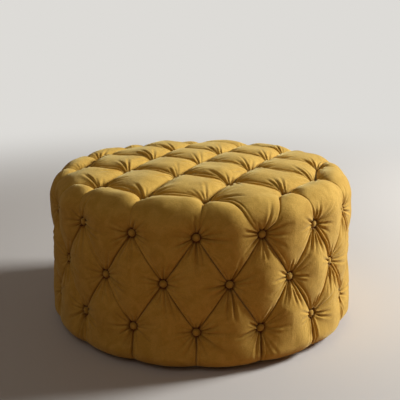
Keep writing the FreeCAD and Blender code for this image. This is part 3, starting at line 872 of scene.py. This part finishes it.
class TUFFET_OT_velvet_cover(bpy.types.Operator):
    """Models the tufted velvet cover with its pleats, tucks and gathers"""

    bl_idname = "tuffet.velvet_cover"
    bl_label = "Velvet Cover"

    def execute(self, context):
        scene = context.scene
        shape, steps = scene.tuffet_shape, scene.tuffet_tufting.steps
        front = model_padding(scene, steps)
        back = model_padding(scene, steps // COARSENESS, under=True)
        face, inside = front.face(), back.face(SKIN_DEPTH)
        margin, margin_quads, edge = turned_margin(front, shape, shape.bottom, MARGIN_ROWS)
        top = shape.bottom + VELVET_THICKNESS
        lining, lining_quads, seam = turned_margin(back, shape, top, MARGIN_ROWS)
        outer = np.concatenate([face, margin])
        inner = np.concatenate([inside, lining])
        quads = [front.net.faces(face, front.outs), margin_quads]
        offset = len(outer)
        back_quads = [skin_back(back.net.faces(inside, back.outs)), skin_back(lining_quads)]
        quads += [part + offset for part in back_quads]
        edge, seam = closed_loop(edge), closed_loop(seam) + offset
        hem = []
        for n in range(len(seam) - 1):
            strip = edge[n * COARSENESS : (n + 1) * COARSENESS + 1]
            hem.append(np.concatenate([strip, [seam[n + 1], seam[n]]])[::-1])
        # The face's darkening: crushed pile and painted shade in its creases, and a painted shadow round
        # each button; the inner skin is not darkened.
        press = np.zeros(len(outer) + len(inner))
        press[: len(face)] = front.pressed()
        points = np.concatenate([outer, inner])
        cover = make_mesh("velvet_cover_shell", points, quads + [np.array(hem)], {"press": press})
        finish_piece(cover, velvet_material(scene.tuffet_velvet), ["velvet_cover"])
        return {"FINISHED"}


class TUFFET_OT_padding(bpy.types.Operator):
    """Models the wadding under the velvet and the foam under the wadding"""

    bl_idname = "tuffet.padding"
    bl_label = "Wadding and Foam"

    def execute(self, context):
        scene = context.scene
        form = model_padding(scene, scene.tuffet_tufting.steps // COARSENESS, under=True)
        outside = form.net.faces(form.points, form.outs)
        outer, inner = [form.face(depth) for depth in WADDING_DEPTHS]
        wrap = self.shell("wadding_layer", form, outer, inner, outside)
        finish_piece(wrap, wadding_material(), ["wadding_wrap"])
        body = self.shell("foam_body", form, form.face(FOAM_DEPTH), self.core(form), outside)
        low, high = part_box("top_foam")
        reach = high.z
        disc = disc_solid(high.x, low.z - reach, high.z + reach, form.net.steps * CUTTER_SIDES)
        plug = make_mesh("foam_cutter", *disc)
        for name, operation, replaced in [
            ("foam_top_pad", "INTERSECT", "top_foam"),
            ("foam_side_band", "DIFFERENCE", "side_foam"),
        ]:
            pad = cut_copy(body, plug, name, operation)
            finish_piece(pad, foam_material(), [replaced])
        bpy.data.objects.remove(body)
        bpy.data.objects.remove(plug)
        return {"FINISHED"}

    @staticmethod
    def shell(name, form, outer, inner, outside):
        """A closed layer between two sets of points of one net."""
        count = len(outer)
        loop = closed_loop(form.loop)
        rim = np.stack([loop[:-1], loop[1:], loop[1:] + count, loop[:-1] + count], axis=1)
        points = np.concatenate([outer, inner])
        ends = points[rim[0]]
        faces_down = np.cross(ends[2] - ends[0], ends[3] - ends[1])[2] < 0.0
        quads = [outside, skin_back(outside) + count, rim if faces_down else skin_back(rim)]
        return make_mesh(name, points, quads)

    @staticmethod
    def core(form):
        """The face of the timber drum behind each point of the foam."""
        low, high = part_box("top_foam")
        side_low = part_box("side_foam")[0].z
        corner = form.outline.dome_run
        run = form.places[:, 0]
        radius = high.x * np.clip(run / corner, 0.0, 1.0)
        share = np.clip((run - corner) / (form.outline.under_run - corner), 0.0, 1.0)
        angles = form.places[:, 1]
        height = low.z + (side_low - low.z) * share
        return np.column_stack([radius * np.sin(angles), -radius * np.cos(angles), height])


def disc_solid(radius, low, high, count):
    """Points and faces of a closed upright cylinder."""
    angles = np.arange(count) * math.tau / count
    points = np.concatenate([ring(radius, angles, low), ring(radius, angles, high)])
    ids = closed_loop(np.arange(count))
    wall = np.stack([ids[:-1], ids[1:], ids[1:] + count, ids[:-1] + count], axis=1)
    return points, [wall, np.arange(count)[None, ::-1], np.arange(count)[None] + count]


def cut_copy(body, cutter, name, operation):
    """A plain mesh object: what a cutter leaves of a body, or takes from it."""
    cut = body.modifiers.new("cut", "BOOLEAN")
    cut.object = cutter
    cut.operation = operation
    cut.solver = "MANIFOLD"
    graph = bpy.context.evaluated_depsgraph_get()
    mesh = bpy.data.meshes.new_from_object(body.evaluated_get(graph))
    body.modifiers.remove(cut)
    if not len(mesh.polygons):
        raise RuntimeError(name + " came out empty")
    mesh.name = name
    made = bpy.data.objects.new(name, mesh)
    bpy.context.collection.objects.link(made)
    return made


# A button's cap: its sides, its profile as radii and heights from the top, the pleats at its rim, and the
# shade painted on it, darker towards the rim.
CAP_SIDES = 56
CAP_PROFILE = [(0.0, 0.0064), (0.0016, 0.00632), (0.0032, 0.00608), (0.0046, 0.00568), (0.0060, 0.0051)]
CAP_PROFILE += [(0.0070, 0.0044), (0.0079, 0.0036), (0.0085, 0.0027), (0.0088, 0.0018), (0.0087, 0.0010)]
CAP_PROFILE += [(0.0084, 0.0004), (0.0079, 0.0), (0.0, 0.0)]
CAP_PLEATS = 11
CAP_PLEATS_FROM = 0.0055
CAP_PLEATS_OVER = 0.003
CAP_PLEAT_SHARE = 0.022
CAP_PLEAT_HEIGHT = 0.00012
CAP_UNEVENNESS = 0.7
CAP_WARP = 0.00006
CAP_GAP = 0.0011
# Painted shade on the cap: its share at the centre and at the rim.
CAP_PAINTED_SHADE = 0.12
CAP_RIM_PAINTED_SHADE = 0.45


def button_cap():
    """One covered button, its base at the origin: a low dome whose velvet is gathered at the rim."""
    angles = np.arange(CAP_SIDES) * math.tau / CAP_SIDES
    points = [np.array([[0.0, 0.0, CAP_PROFILE[0][1]]])]
    for radius, height in CAP_PROFILE[1:-1]:
        near_rim = smooth((radius - CAP_PLEATS_FROM) / CAP_PLEATS_OVER)
        wave = np.cos(CAP_PLEATS * angles + CAP_UNEVENNESS * np.sin(3 * angles))
        radii = radius * (1.0 + CAP_PLEAT_SHARE * near_rim * wave)
        heights = height + CAP_PLEAT_HEIGHT * near_rim * wave + CAP_WARP * np.sin(2 * angles)
        points.append(np.column_stack([radii * np.cos(angles), radii * np.sin(angles), heights]))
    points.append(np.array([[0.0, 0.0, CAP_PROFILE[-1][1]]]))
    count = len(CAP_PROFILE) - 2
    ids = 1 + np.arange(count * CAP_SIDES).reshape(count, CAP_SIDES)
    grid = np.concatenate([ids, ids[:, :1]], axis=1)
    walls = quads_of(grid)
    top = np.stack([np.zeros(CAP_SIDES, int), grid[0, :-1], grid[0, 1:]], axis=1)
    end = np.full(CAP_SIDES, 1 + count * CAP_SIDES)
    bottom = np.stack([end, grid[-1, 1:], grid[-1, :-1]], axis=1)
    caps = np.concatenate(points)
    away = np.hypot(caps[:, 0], caps[:, 1])
    # Paints shade on the cap, growing towards its rim.
    press = CAP_PAINTED_SHADE + (CAP_RIM_PAINTED_SHADE - CAP_PAINTED_SHADE) * smooth(away / CAP_PROFILE[-2][0]) ** 2
    return make_mesh("button_cap", caps, [top, walls, bottom], {"press": press})


def instance_tree(material):
    """Sets one object on every point, facing along the point's out direction and turned at random."""
    tree = bpy.data.node_groups.new("Set buttons", "GeometryNodeTree")
    kinds = {"Geometry": "Geometry", "Button": "Object", "Turn": "Float", "Seed": "Int"}
    for name, kind in kinds.items():
        tree.interface.new_socket(name, in_out="INPUT", socket_type="NodeSocket" + kind)
    tree.interface.new_socket("Geometry", in_out="OUTPUT", socket_type="NodeSocketGeometry")
    given = node(tree, "NodeGroupInput").outputs
    cap = node(tree, "GeometryNodeObjectInfo", {"Object": given["Button"]})
    facing = node(tree, "GeometryNodeInputNamedAttribute", {"Name": "out"}, data_type="FLOAT_VECTOR")
    inputs = {"Vector": facing.outputs["Attribute"]}
    aligned = node(tree, "FunctionNodeAlignRotationToVector", inputs, axis="Z")
    inputs = {3: given["Turn"], "Seed": given["Seed"]}
    spin = node(tree, "FunctionNodeRandomValue", inputs, data_type="FLOAT")
    inputs = {"Axis": (0, 0, 1), "Angle": spin.outputs[1]}
    about = node(tree, "FunctionNodeAxisAngleToRotation", inputs)
    inputs = {"Rotation": aligned.outputs[0], "Rotate By": about.outputs[0]}
    spun = node(tree, "FunctionNodeRotateRotation", inputs, rotation_space="LOCAL")
    inputs = {"Points": given["Geometry"], "Instance": cap.outputs["Geometry"]}
    inputs["Rotation"] = spun.outputs[0]
    copies = node(tree, "GeometryNodeInstanceOnPoints", inputs)
    real = node(tree, "GeometryNodeRealizeInstances", {"Geometry": copies.outputs[0]})
    done = node(tree, "GeometryNodeSetMaterial", {"Geometry": real.outputs[0], "Material": material})
    node(tree, "NodeGroupOutput", {"Geometry": done.outputs[0]})
    return tree


def set_inputs(modifier, values):
    """Sets a node modifier's inputs by their names."""
    for socket in modifier.node_group.interface.items_tree:
        if socket.in_out == "INPUT" and socket.name in values:
            modifier[socket.identifier] = values[socket.name]


class TUFFET_OT_buttons(bpy.types.Operator):
    """Sets a covered button in every pit, row by row"""

    bl_idname = "tuffet.buttons"
    bl_label = "Covered Buttons"

    def execute(self, context):
        scene = context.scene
        shape, tufting = scene.tuffet_shape, scene.tuffet_tufting
        knots = lay_knots(Outline(shape), shape, tufting)
        material = bpy.data.materials[VELVET]
        cap = button_cap()
        tree = instance_tree(material)
        for number, row in enumerate(["top", *SIDE_ROWS]):
            spots = [knot for knot in knots.values() if knot.name[0] == row]
            seats = np.array([knot.base - knot.out * (knot.floor - CAP_GAP) for knot in spots])
            mesh = bpy.data.meshes.new(row + "_seats")
            mesh.from_pydata(seats.tolist(), [], [])
            outs = np.array([knot.out for knot in spots], np.float32)
            facing = mesh.attributes.new("out", "FLOAT_VECTOR", "POINT")
            facing.data.foreach_set("vector", outs.reshape(-1))
            carrier = bpy.data.objects.new(row + "_seats", mesh)
            scene.collection.objects.link(carrier)
            modifier = carrier.modifiers.new("buttons", "NODES")
            modifier.node_group = tree
            set_inputs(modifier, {"Button": cap, "Turn": math.tau, "Seed": tufting.seed + number})
            graph = context.evaluated_depsgraph_get()
            made = bpy.data.meshes.new_from_object(carrier.evaluated_get(graph))
            bpy.data.objects.remove(carrier)
            row_piece = bpy.data.objects.new(row + "_covered_buttons", made)
            scene.collection.objects.link(row_piece)
            if len(made.polygons) < len(spots):
                raise RuntimeError(row + " has no buttons")
            finish_piece(row_piece, material, [row + "_buttons"])
        bpy.data.objects.remove(cap)
        return {"FINISHED"}


def dress(names, material):
    """Gives CAD nodes a finish."""
    for name in names:
        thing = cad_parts[name]
        for slot in thing.material_slots:
            slot.material = material


def end_material(made, ends, roughness, height, distance, **constants):
    """Ends a material: a factor and the two colours it blends, roughness, and its relief in metres."""
    material, tree, _, surface = made
    factor, dark, light = [linear(end) if isinstance(end, str) else end for end in ends]
    colour = node(tree, "ShaderNodeMix", {0: factor, 6: dark, 7: light}, data_type="RGBA").outputs[2]
    relief = node(tree, "ShaderNodeBump", {"Height": height, "Strength": 0.6, "Distance": distance})
    inputs = {"Base Color": colour, "Roughness": roughness, "Normal": relief.outputs[0]}
    shader = node(tree, "ShaderNodeBsdfPrincipled", {**inputs, **constants})
    tree.links.new(shader.outputs[0], surface)
    return material


def wadding_material():
    """Polyester wadding, carded: a matt white mat of long fibres that cross each other every 4 mm."""
    made = new_material("Polyester wadding, carded")
    _, tree, place, _ = made
    fibres = []
    for squeeze in [(1, 1, 5), (5, 5, 1)]:
        along = node(tree, "ShaderNodeMapping", {"Vector": place, "Scale": squeeze}).outputs[0]
        inputs = {"Vector": along, "Scale": 1 / 0.004, "Detail": 3.0, "Distortion": 2.2}
        fibres.append(node(tree, "ShaderNodeTexNoise", inputs).outputs["Fac"])
    crossed = node(tree, "ShaderNodeMath", {0: fibres[0], 1: fibres[1]}, operation="MULTIPLY").outputs[0]
    sheen = {"Sheen Weight": 0.3}
    return end_material(made, (crossed, "#BDBCB8", "#FFFFFF"), 0.95, crossed, 0.003, **sheen)


def foam_material():
    """Polyurethane foam, cut: pale yellow and matt, with open cells of 1 mm, drawn twice their size."""
    made = new_material("Polyurethane foam, cut")
    _, tree, place, _ = made
    cells = node(tree, "ShaderNodeTexVoronoi", {"Vector": place, "Scale": 1 / 0.002}).outputs["Distance"]
    tone = node(tree, "ShaderNodeTexNoise", {"Vector": place, "Scale": 1 / 0.12}).outputs["Fac"]
    mixed = node(tree, "ShaderNodeMath", {0: cells, 1: 0.6, 2: tone}, operation="MULTIPLY_ADD").outputs[0]
    return end_material(made, (mixed, "#B9A76F", "#F4EBCB"), 0.9, cells, 0.001)


def plywood_material():
    """Birch plywood, sawn: pale veneer grain on its faces, and plies of 1.4 mm show on its edges."""
    made = new_material("Birch plywood, sawn")
    _, tree, place, _ = made
    along = node(tree, "ShaderNodeMapping", {"Vector": place, "Scale": (1, 14, 14)}).outputs[0]
    inputs = {"Vector": along, "Scale": 1 / 0.05, "Detail": 4.0, "Distortion": 0.8}
    grain = node(tree, "ShaderNodeTexNoise", inputs).outputs["Fac"]
    height = node(tree, "ShaderNodeSeparateXYZ", {0: place}).outputs["Z"]
    inputs = {0: height, 1: math.pi / 0.0014}
    turns = node(tree, "ShaderNodeMath", inputs, operation="MULTIPLY").outputs[0]
    wave = node(tree, "ShaderNodeMath", {0: turns}, operation="SINE").outputs[0]
    inputs = {"Value": wave, "From Min": -0.3, "From Max": 0.3}
    plies = node(tree, "ShaderNodeMapRange", inputs).outputs[0]
    normal = node(tree, "ShaderNodeNewGeometry").outputs["Normal"]
    upward = node(tree, "ShaderNodeSeparateXYZ", {0: normal}).outputs["Z"]
    level = node(tree, "ShaderNodeMath", {0: upward}, operation="ABSOLUTE").outputs[0]
    sides = []
    for factor, dark, light in [(plies, "#8E6238", "#DDBE8E"), (grain, "#B98C5A", "#E9CFA2")]:
        ends = {0: factor, 6: linear(dark), 7: linear(light)}
        sides.append(node(tree, "ShaderNodeMix", ends, data_type="RGBA").outputs[2])
    return end_material(made, (level, *sides), 0.65, grain, 0.0004)


def pine_material():
    """Pine, planed: straight yellow grain with darker late wood every few millimetres along each post."""
    made = new_material("Pine, planed")
    _, tree, place, _ = made
    along = node(tree, "ShaderNodeMapping", {"Vector": place, "Scale": (1, 0.6, 0.06)}).outputs[0]
    inputs = {"Vector": along, "Scale": 1 / 0.035, "Distortion": 3.0, "Detail": 3.0}
    rings = node(tree, "ShaderNodeTexWave", inputs).outputs["Fac"]
    return end_material(made, (rings, "#E3BE82", "#A9743C"), 0.6, rings, 0.0003)


def hardboard_material():
    """Hardboard, pressed: brown wood fibre about 2.5 mm long with a hard smooth face."""
    made = new_material("Hardboard, pressed")
    _, tree, place, _ = made
    inputs = {"Vector": place, "Scale": 1 / 0.0025, "Detail": 5.0, "Distortion": 1.5}
    fibres = node(tree, "ShaderNodeTexNoise", inputs).outputs["Fac"]
    return end_material(made, (fibres, "#4E3320", "#8C6644"), 0.45, fibres, 0.0003)


def zinc_material():
    """Steel wire and plate, zinc plated: a bluish grey metal whose drawing lines break its gleam."""
    made = new_material("Steel, zinc plated")
    _, tree, place, _ = made
    along = node(tree, "ShaderNodeMapping", {"Vector": place, "Scale": (1, 1, 6)}).outputs[0]
    lines = node(tree, "ShaderNodeTexNoise", {"Vector": along, "Scale": 1 / 0.0012}).outputs["Fac"]
    gleam = node(tree, "ShaderNodeMapRange", {"Value": lines, "To Min": 0.25, "To Max": 0.5}).outputs[0]
    return end_material(made, (lines, "#9AA0A4", "#D5D8DA"), gleam, lines, 0.00005, Metallic=1.0)


def nylon_material(name, dark, light, roughness):
    """Nylon, moulded: an even colour with the fine spark texture of its mould, 0.7 mm across."""
    made = new_material(name)
    _, tree, place, _ = made
    spark = node(tree, "ShaderNodeTexNoise", {"Vector": place, "Scale": 1 / 0.0007}).outputs["Fac"]
    tone = node(tree, "ShaderNodeTexNoise", {"Vector": place, "Scale": 1 / 0.02}).outputs["Fac"]
    return end_material(made, (tone, dark, light), roughness, spark, 0.0001)


def cambric_material():
    """Polypropylene cambric, spunbonded: black fibres with pressed dots 3 mm apart."""
    made = new_material("Polypropylene cambric, spunbonded")
    _, tree, place, _ = made
    level = node(tree, "ShaderNodeMapping", {"Vector": place, "Scale": (1, 1, 0)}).outputs[0]
    inputs = {"Vector": level, "Scale": 1 / 0.003, "Randomness": 0.15}
    dots = node(tree, "ShaderNodeTexVoronoi", inputs).outputs["Distance"]
    inputs = {"Value": dots, "From Min": 0.15, "From Max": 0.4}
    pressed = node(tree, "ShaderNodeMapRange", inputs).outputs[0]
    inputs = {"Vector": level, "Scale": 1 / 0.0015, "Detail": 4.0, "Distortion": 3.0}
    fibres = node(tree, "ShaderNodeTexNoise", inputs).outputs["Fac"]
    height = node(tree, "ShaderNodeMath", {0: pressed, 1: fibres}, operation="MULTIPLY").outputs[0]
    return end_material(made, (height, "#0E0E10", "#2B2B2E"), 0.8, height, 0.0003)


def twine_material():
    """Polyester twine, twisted and waxed: off-white, with the twist of its plies every 4 mm."""
    made = new_material("Polyester twine, waxed")
    _, tree, place, _ = made
    inputs = {"Vector": place, "Scale": 1 / 0.004, "Distortion": 0.5}
    twist = node(tree, "ShaderNodeTexWave", inputs, bands_direction="DIAGONAL").outputs["Fac"]
    return end_material(made, (twist, "#A79C84", "#EFE8D6"), 0.5, twist, 0.0003)


class TUFFET_OT_frame_finishes(bpy.types.Operator):
    """Finishes the timber, the fixings, the dust cover and the glides"""

    bl_idname = "tuffet.frame_finishes"
    bl_label = "Frame Finishes"

    def execute(self, context):
        names = list(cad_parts)
        zinc = zinc_material()
        dress(["base_board", "top_board"], plywood_material())
        dress([n for n in names if n.startswith("post_")], pine_material())
        dress(["front_panel", "rear_panel"], hardboard_material())
        dress([n for n in names if n.endswith(("screws", "staples", "button_backs"))], zinc)
        dress([n for n in names if n.endswith("twines")], twine_material())
        white = nylon_material("Nylon, moulded white", "#CFCFCB", "#E8E8E4", 0.4)
        black = nylon_material("Nylon, moulded black", "#121213", "#1E1E20", 0.45)
        dress([n for n in names if n.endswith("washers")], white)
        dress(["foot_1", "foot_2", "foot_3", "foot_4"], black)
        dress(["dust_cover"], cambric_material())
        return {"FINISHED"}


FLOOR_REACH = 40.0
# Distances from the drum between which the floor fades into the backdrop.
FADE_NEAR = 0.9
FADE_FAR = 3.2
FLOOR_PAINT = "#D3D0CB"
# The floor's colour for the light that it throws back on the drum, and the colour of the room's light.
FLOOR_BOUNCE = "#8A6443"
ROOM_LIGHT = "#F3C496"
BACKDROP = "#DDDBD7"
# Each lamp's turn right of the camera and rise in degrees, distance, size and share of the key's power.
LAMPS = {
    "key_light": (104.5, 26.0, 4.4, 1.3, 1.0),
    "front_light": (-25.0, 45.0, 4.0, 2.5, 0.036),
}
LAMP_AIM = Vector((0.0, 0.0, 0.25))


def direction(angle, rise):
    """The way out from the drum at an angle round it and an angle above the horizon."""
    return Vector((math.sin(angle) * math.cos(rise), -math.cos(angle) * math.cos(rise), math.sin(rise)))


def placed(name, data, spot, way):
    """A lamp or camera at a spot, looking back along a way."""
    holder = bpy.data.objects.new(name, data)
    holder.location = spot
    holder.rotation_mode = "QUATERNION"
    holder.rotation_quaternion = (-way).to_track_quat("-Z", "Y")
    bpy.context.collection.objects.link(holder)
    return holder


def eye_rays(tree):
    """1 for rays that carry the background to the eye, also off metal or through glass, or else 0."""
    path = node(tree, "ShaderNodeLightPath").outputs
    share = path["Is Camera Ray"]
    for name in ["Is Glossy Ray", "Is Transmission Ray"]:
        share = node(tree, "ShaderNodeMath", {0: share, 1: path[name]}, operation="MAXIMUM").outputs[0]
    return share


class TUFFET_OT_studio(bpy.types.Operator):
    """Sets the floor, the soft light and the camera"""

    bl_idname = "tuffet.studio"
    bl_label = "Studio"

    def execute(self, context):
        scene = context.scene
        studio = scene.tuffet_studio
        scene.view_settings.view_transform = "Standard"
        corners = np.array([[-1.0, -1.0, 0.0], [1.0, -1.0, 0.0], [1.0, 1.0, 0.0], [-1.0, 1.0, 0.0]])
        floor = make_mesh("studio_floor", corners * FLOOR_REACH, [np.array([[0, 1, 2, 3]])])
        floor.data.materials.append(self.floor_material())
        scene.world = self.room(studio.fill)
        for name, (turn, rise, distance, size, share) in LAMPS.items():
            lamp = bpy.data.lights.new(name, "AREA")
            lamp.shape = "DISK"
            lamp.size = size
            lamp.energy = studio.key * share
            way = direction(studio.azimuth + math.radians(turn), math.radians(rise))
            placed(name, lamp, LAMP_AIM + way * distance, way).visible_camera = False
        camera = bpy.data.cameras.new("camera")
        camera.lens = studio.lens
        camera.sensor_width = 36.0
        camera.shift_y = -studio.shift
        way = direction(studio.azimuth, studio.elevation)
        right = Vector((math.cos(studio.azimuth), math.sin(studio.azimuth), 0.0))
        aim = right * studio.aim_side + Vector((0, 0, studio.aim_height))
        scene.camera = placed("camera", camera, aim + way * studio.distance, way)
        return {"FINISHED"}

    @staticmethod
    def floor_material():
        """Painted studio floor: matt and pale, fading into the backdrop far from the drum."""
        material, tree, place, surface = new_material("Painted studio floor")
        seen = eye_rays(tree)
        ends = {0: seen, 6: linear(FLOOR_BOUNCE), 7: linear(FLOOR_PAINT)}
        colour = node(tree, "ShaderNodeMix", ends, data_type="RGBA").outputs[2]
        inputs = {"Base Color": colour, "Roughness": 0.8}
        paint = node(tree, "ShaderNodeBsdfPrincipled", inputs).outputs[0]
        away = node(tree, "ShaderNodeVectorMath", {0: place}, operation="LENGTH").outputs["Value"]
        inputs = {"Value": away, "From Min": FADE_NEAR, "From Max": FADE_FAR}
        far = node(tree, "ShaderNodeMapRange", inputs, interpolation_type="SMOOTHERSTEP").outputs[0]
        fade = node(tree, "ShaderNodeMath", {0: far, 1: seen}, operation="MULTIPLY").outputs[0]
        glow = node(tree, "ShaderNodeEmission", {"Color": linear(BACKDROP)}).outputs[0]
        shader = node(tree, "ShaderNodeMixShader", {0: fade, 1: paint, 2: glow})
        tree.links.new(shader.outputs[0], surface)
        return material

    @staticmethod
    def room(strength):
        """The backdrop to the eye, and a warm dim room to the drum."""
        world = bpy.data.worlds.new("Studio")
        world.use_nodes = True
        tree = world.node_tree
        tree.nodes.clear()
        lights = [(ROOM_LIGHT, strength), (BACKDROP, 1.0)]
        fill, plain = [
            node(tree, "ShaderNodeBackground", {"Color": linear(code), "Strength": power}).outputs[0]
            for code, power in lights
        ]
        shown = node(tree, "ShaderNodeMixShader", {0: eye_rays(tree), 1: fill, 2: plain})
        node(tree, "ShaderNodeOutputWorld", {"Surface": shown.outputs[0]})
        return world


class TUFFET_PT_panel(bpy.types.Panel):
    """Lists the steps in the 3D view's sidebar"""

    bl_idname = "TUFFET_PT_panel"
    bl_label = "Tuffet"
    bl_space_type = "VIEW_3D"
    bl_region_type = "UI"
    bl_category = "Tuffet"

    def draw(self, context):
        for step in STEPS:
            self.layout.operator(step.bl_idname)


STEPS = [
    TUFFET_OT_velvet_cover,
    TUFFET_OT_padding,
    TUFFET_OT_buttons,
    TUFFET_OT_frame_finishes,
    TUFFET_OT_studio,
]
GROUPS = {
    "tuffet_shape": TuffetShape,
    "tuffet_tufting": TuffetTufting,
    "tuffet_velvet": TuffetVelvet,
    "tuffet_studio": TuffetStudio,
}


def register():
    for made in [*GROUPS.values(), *STEPS, TUFFET_PT_panel]:
        bpy.utils.register_class(made)
    for name, group in GROUPS.items():
        setattr(bpy.types.Scene, name, bpy.props.PointerProperty(type=group))


def unregister():
    for name in GROUPS:
        delattr(bpy.types.Scene, name)
    for made in [TUFFET_PT_panel, *reversed(STEPS), *reversed(list(GROUPS.values()))]:
        bpy.utils.unregister_class(made)


def main():
    register()
    bpy.ops.tuffet.velvet_cover()
    bpy.ops.tuffet.padding()
    bpy.ops.tuffet.buttons()
    bpy.ops.tuffet.frame_finishes()
    bpy.ops.tuffet.studio()


if __name__ == "__main__":
    main()
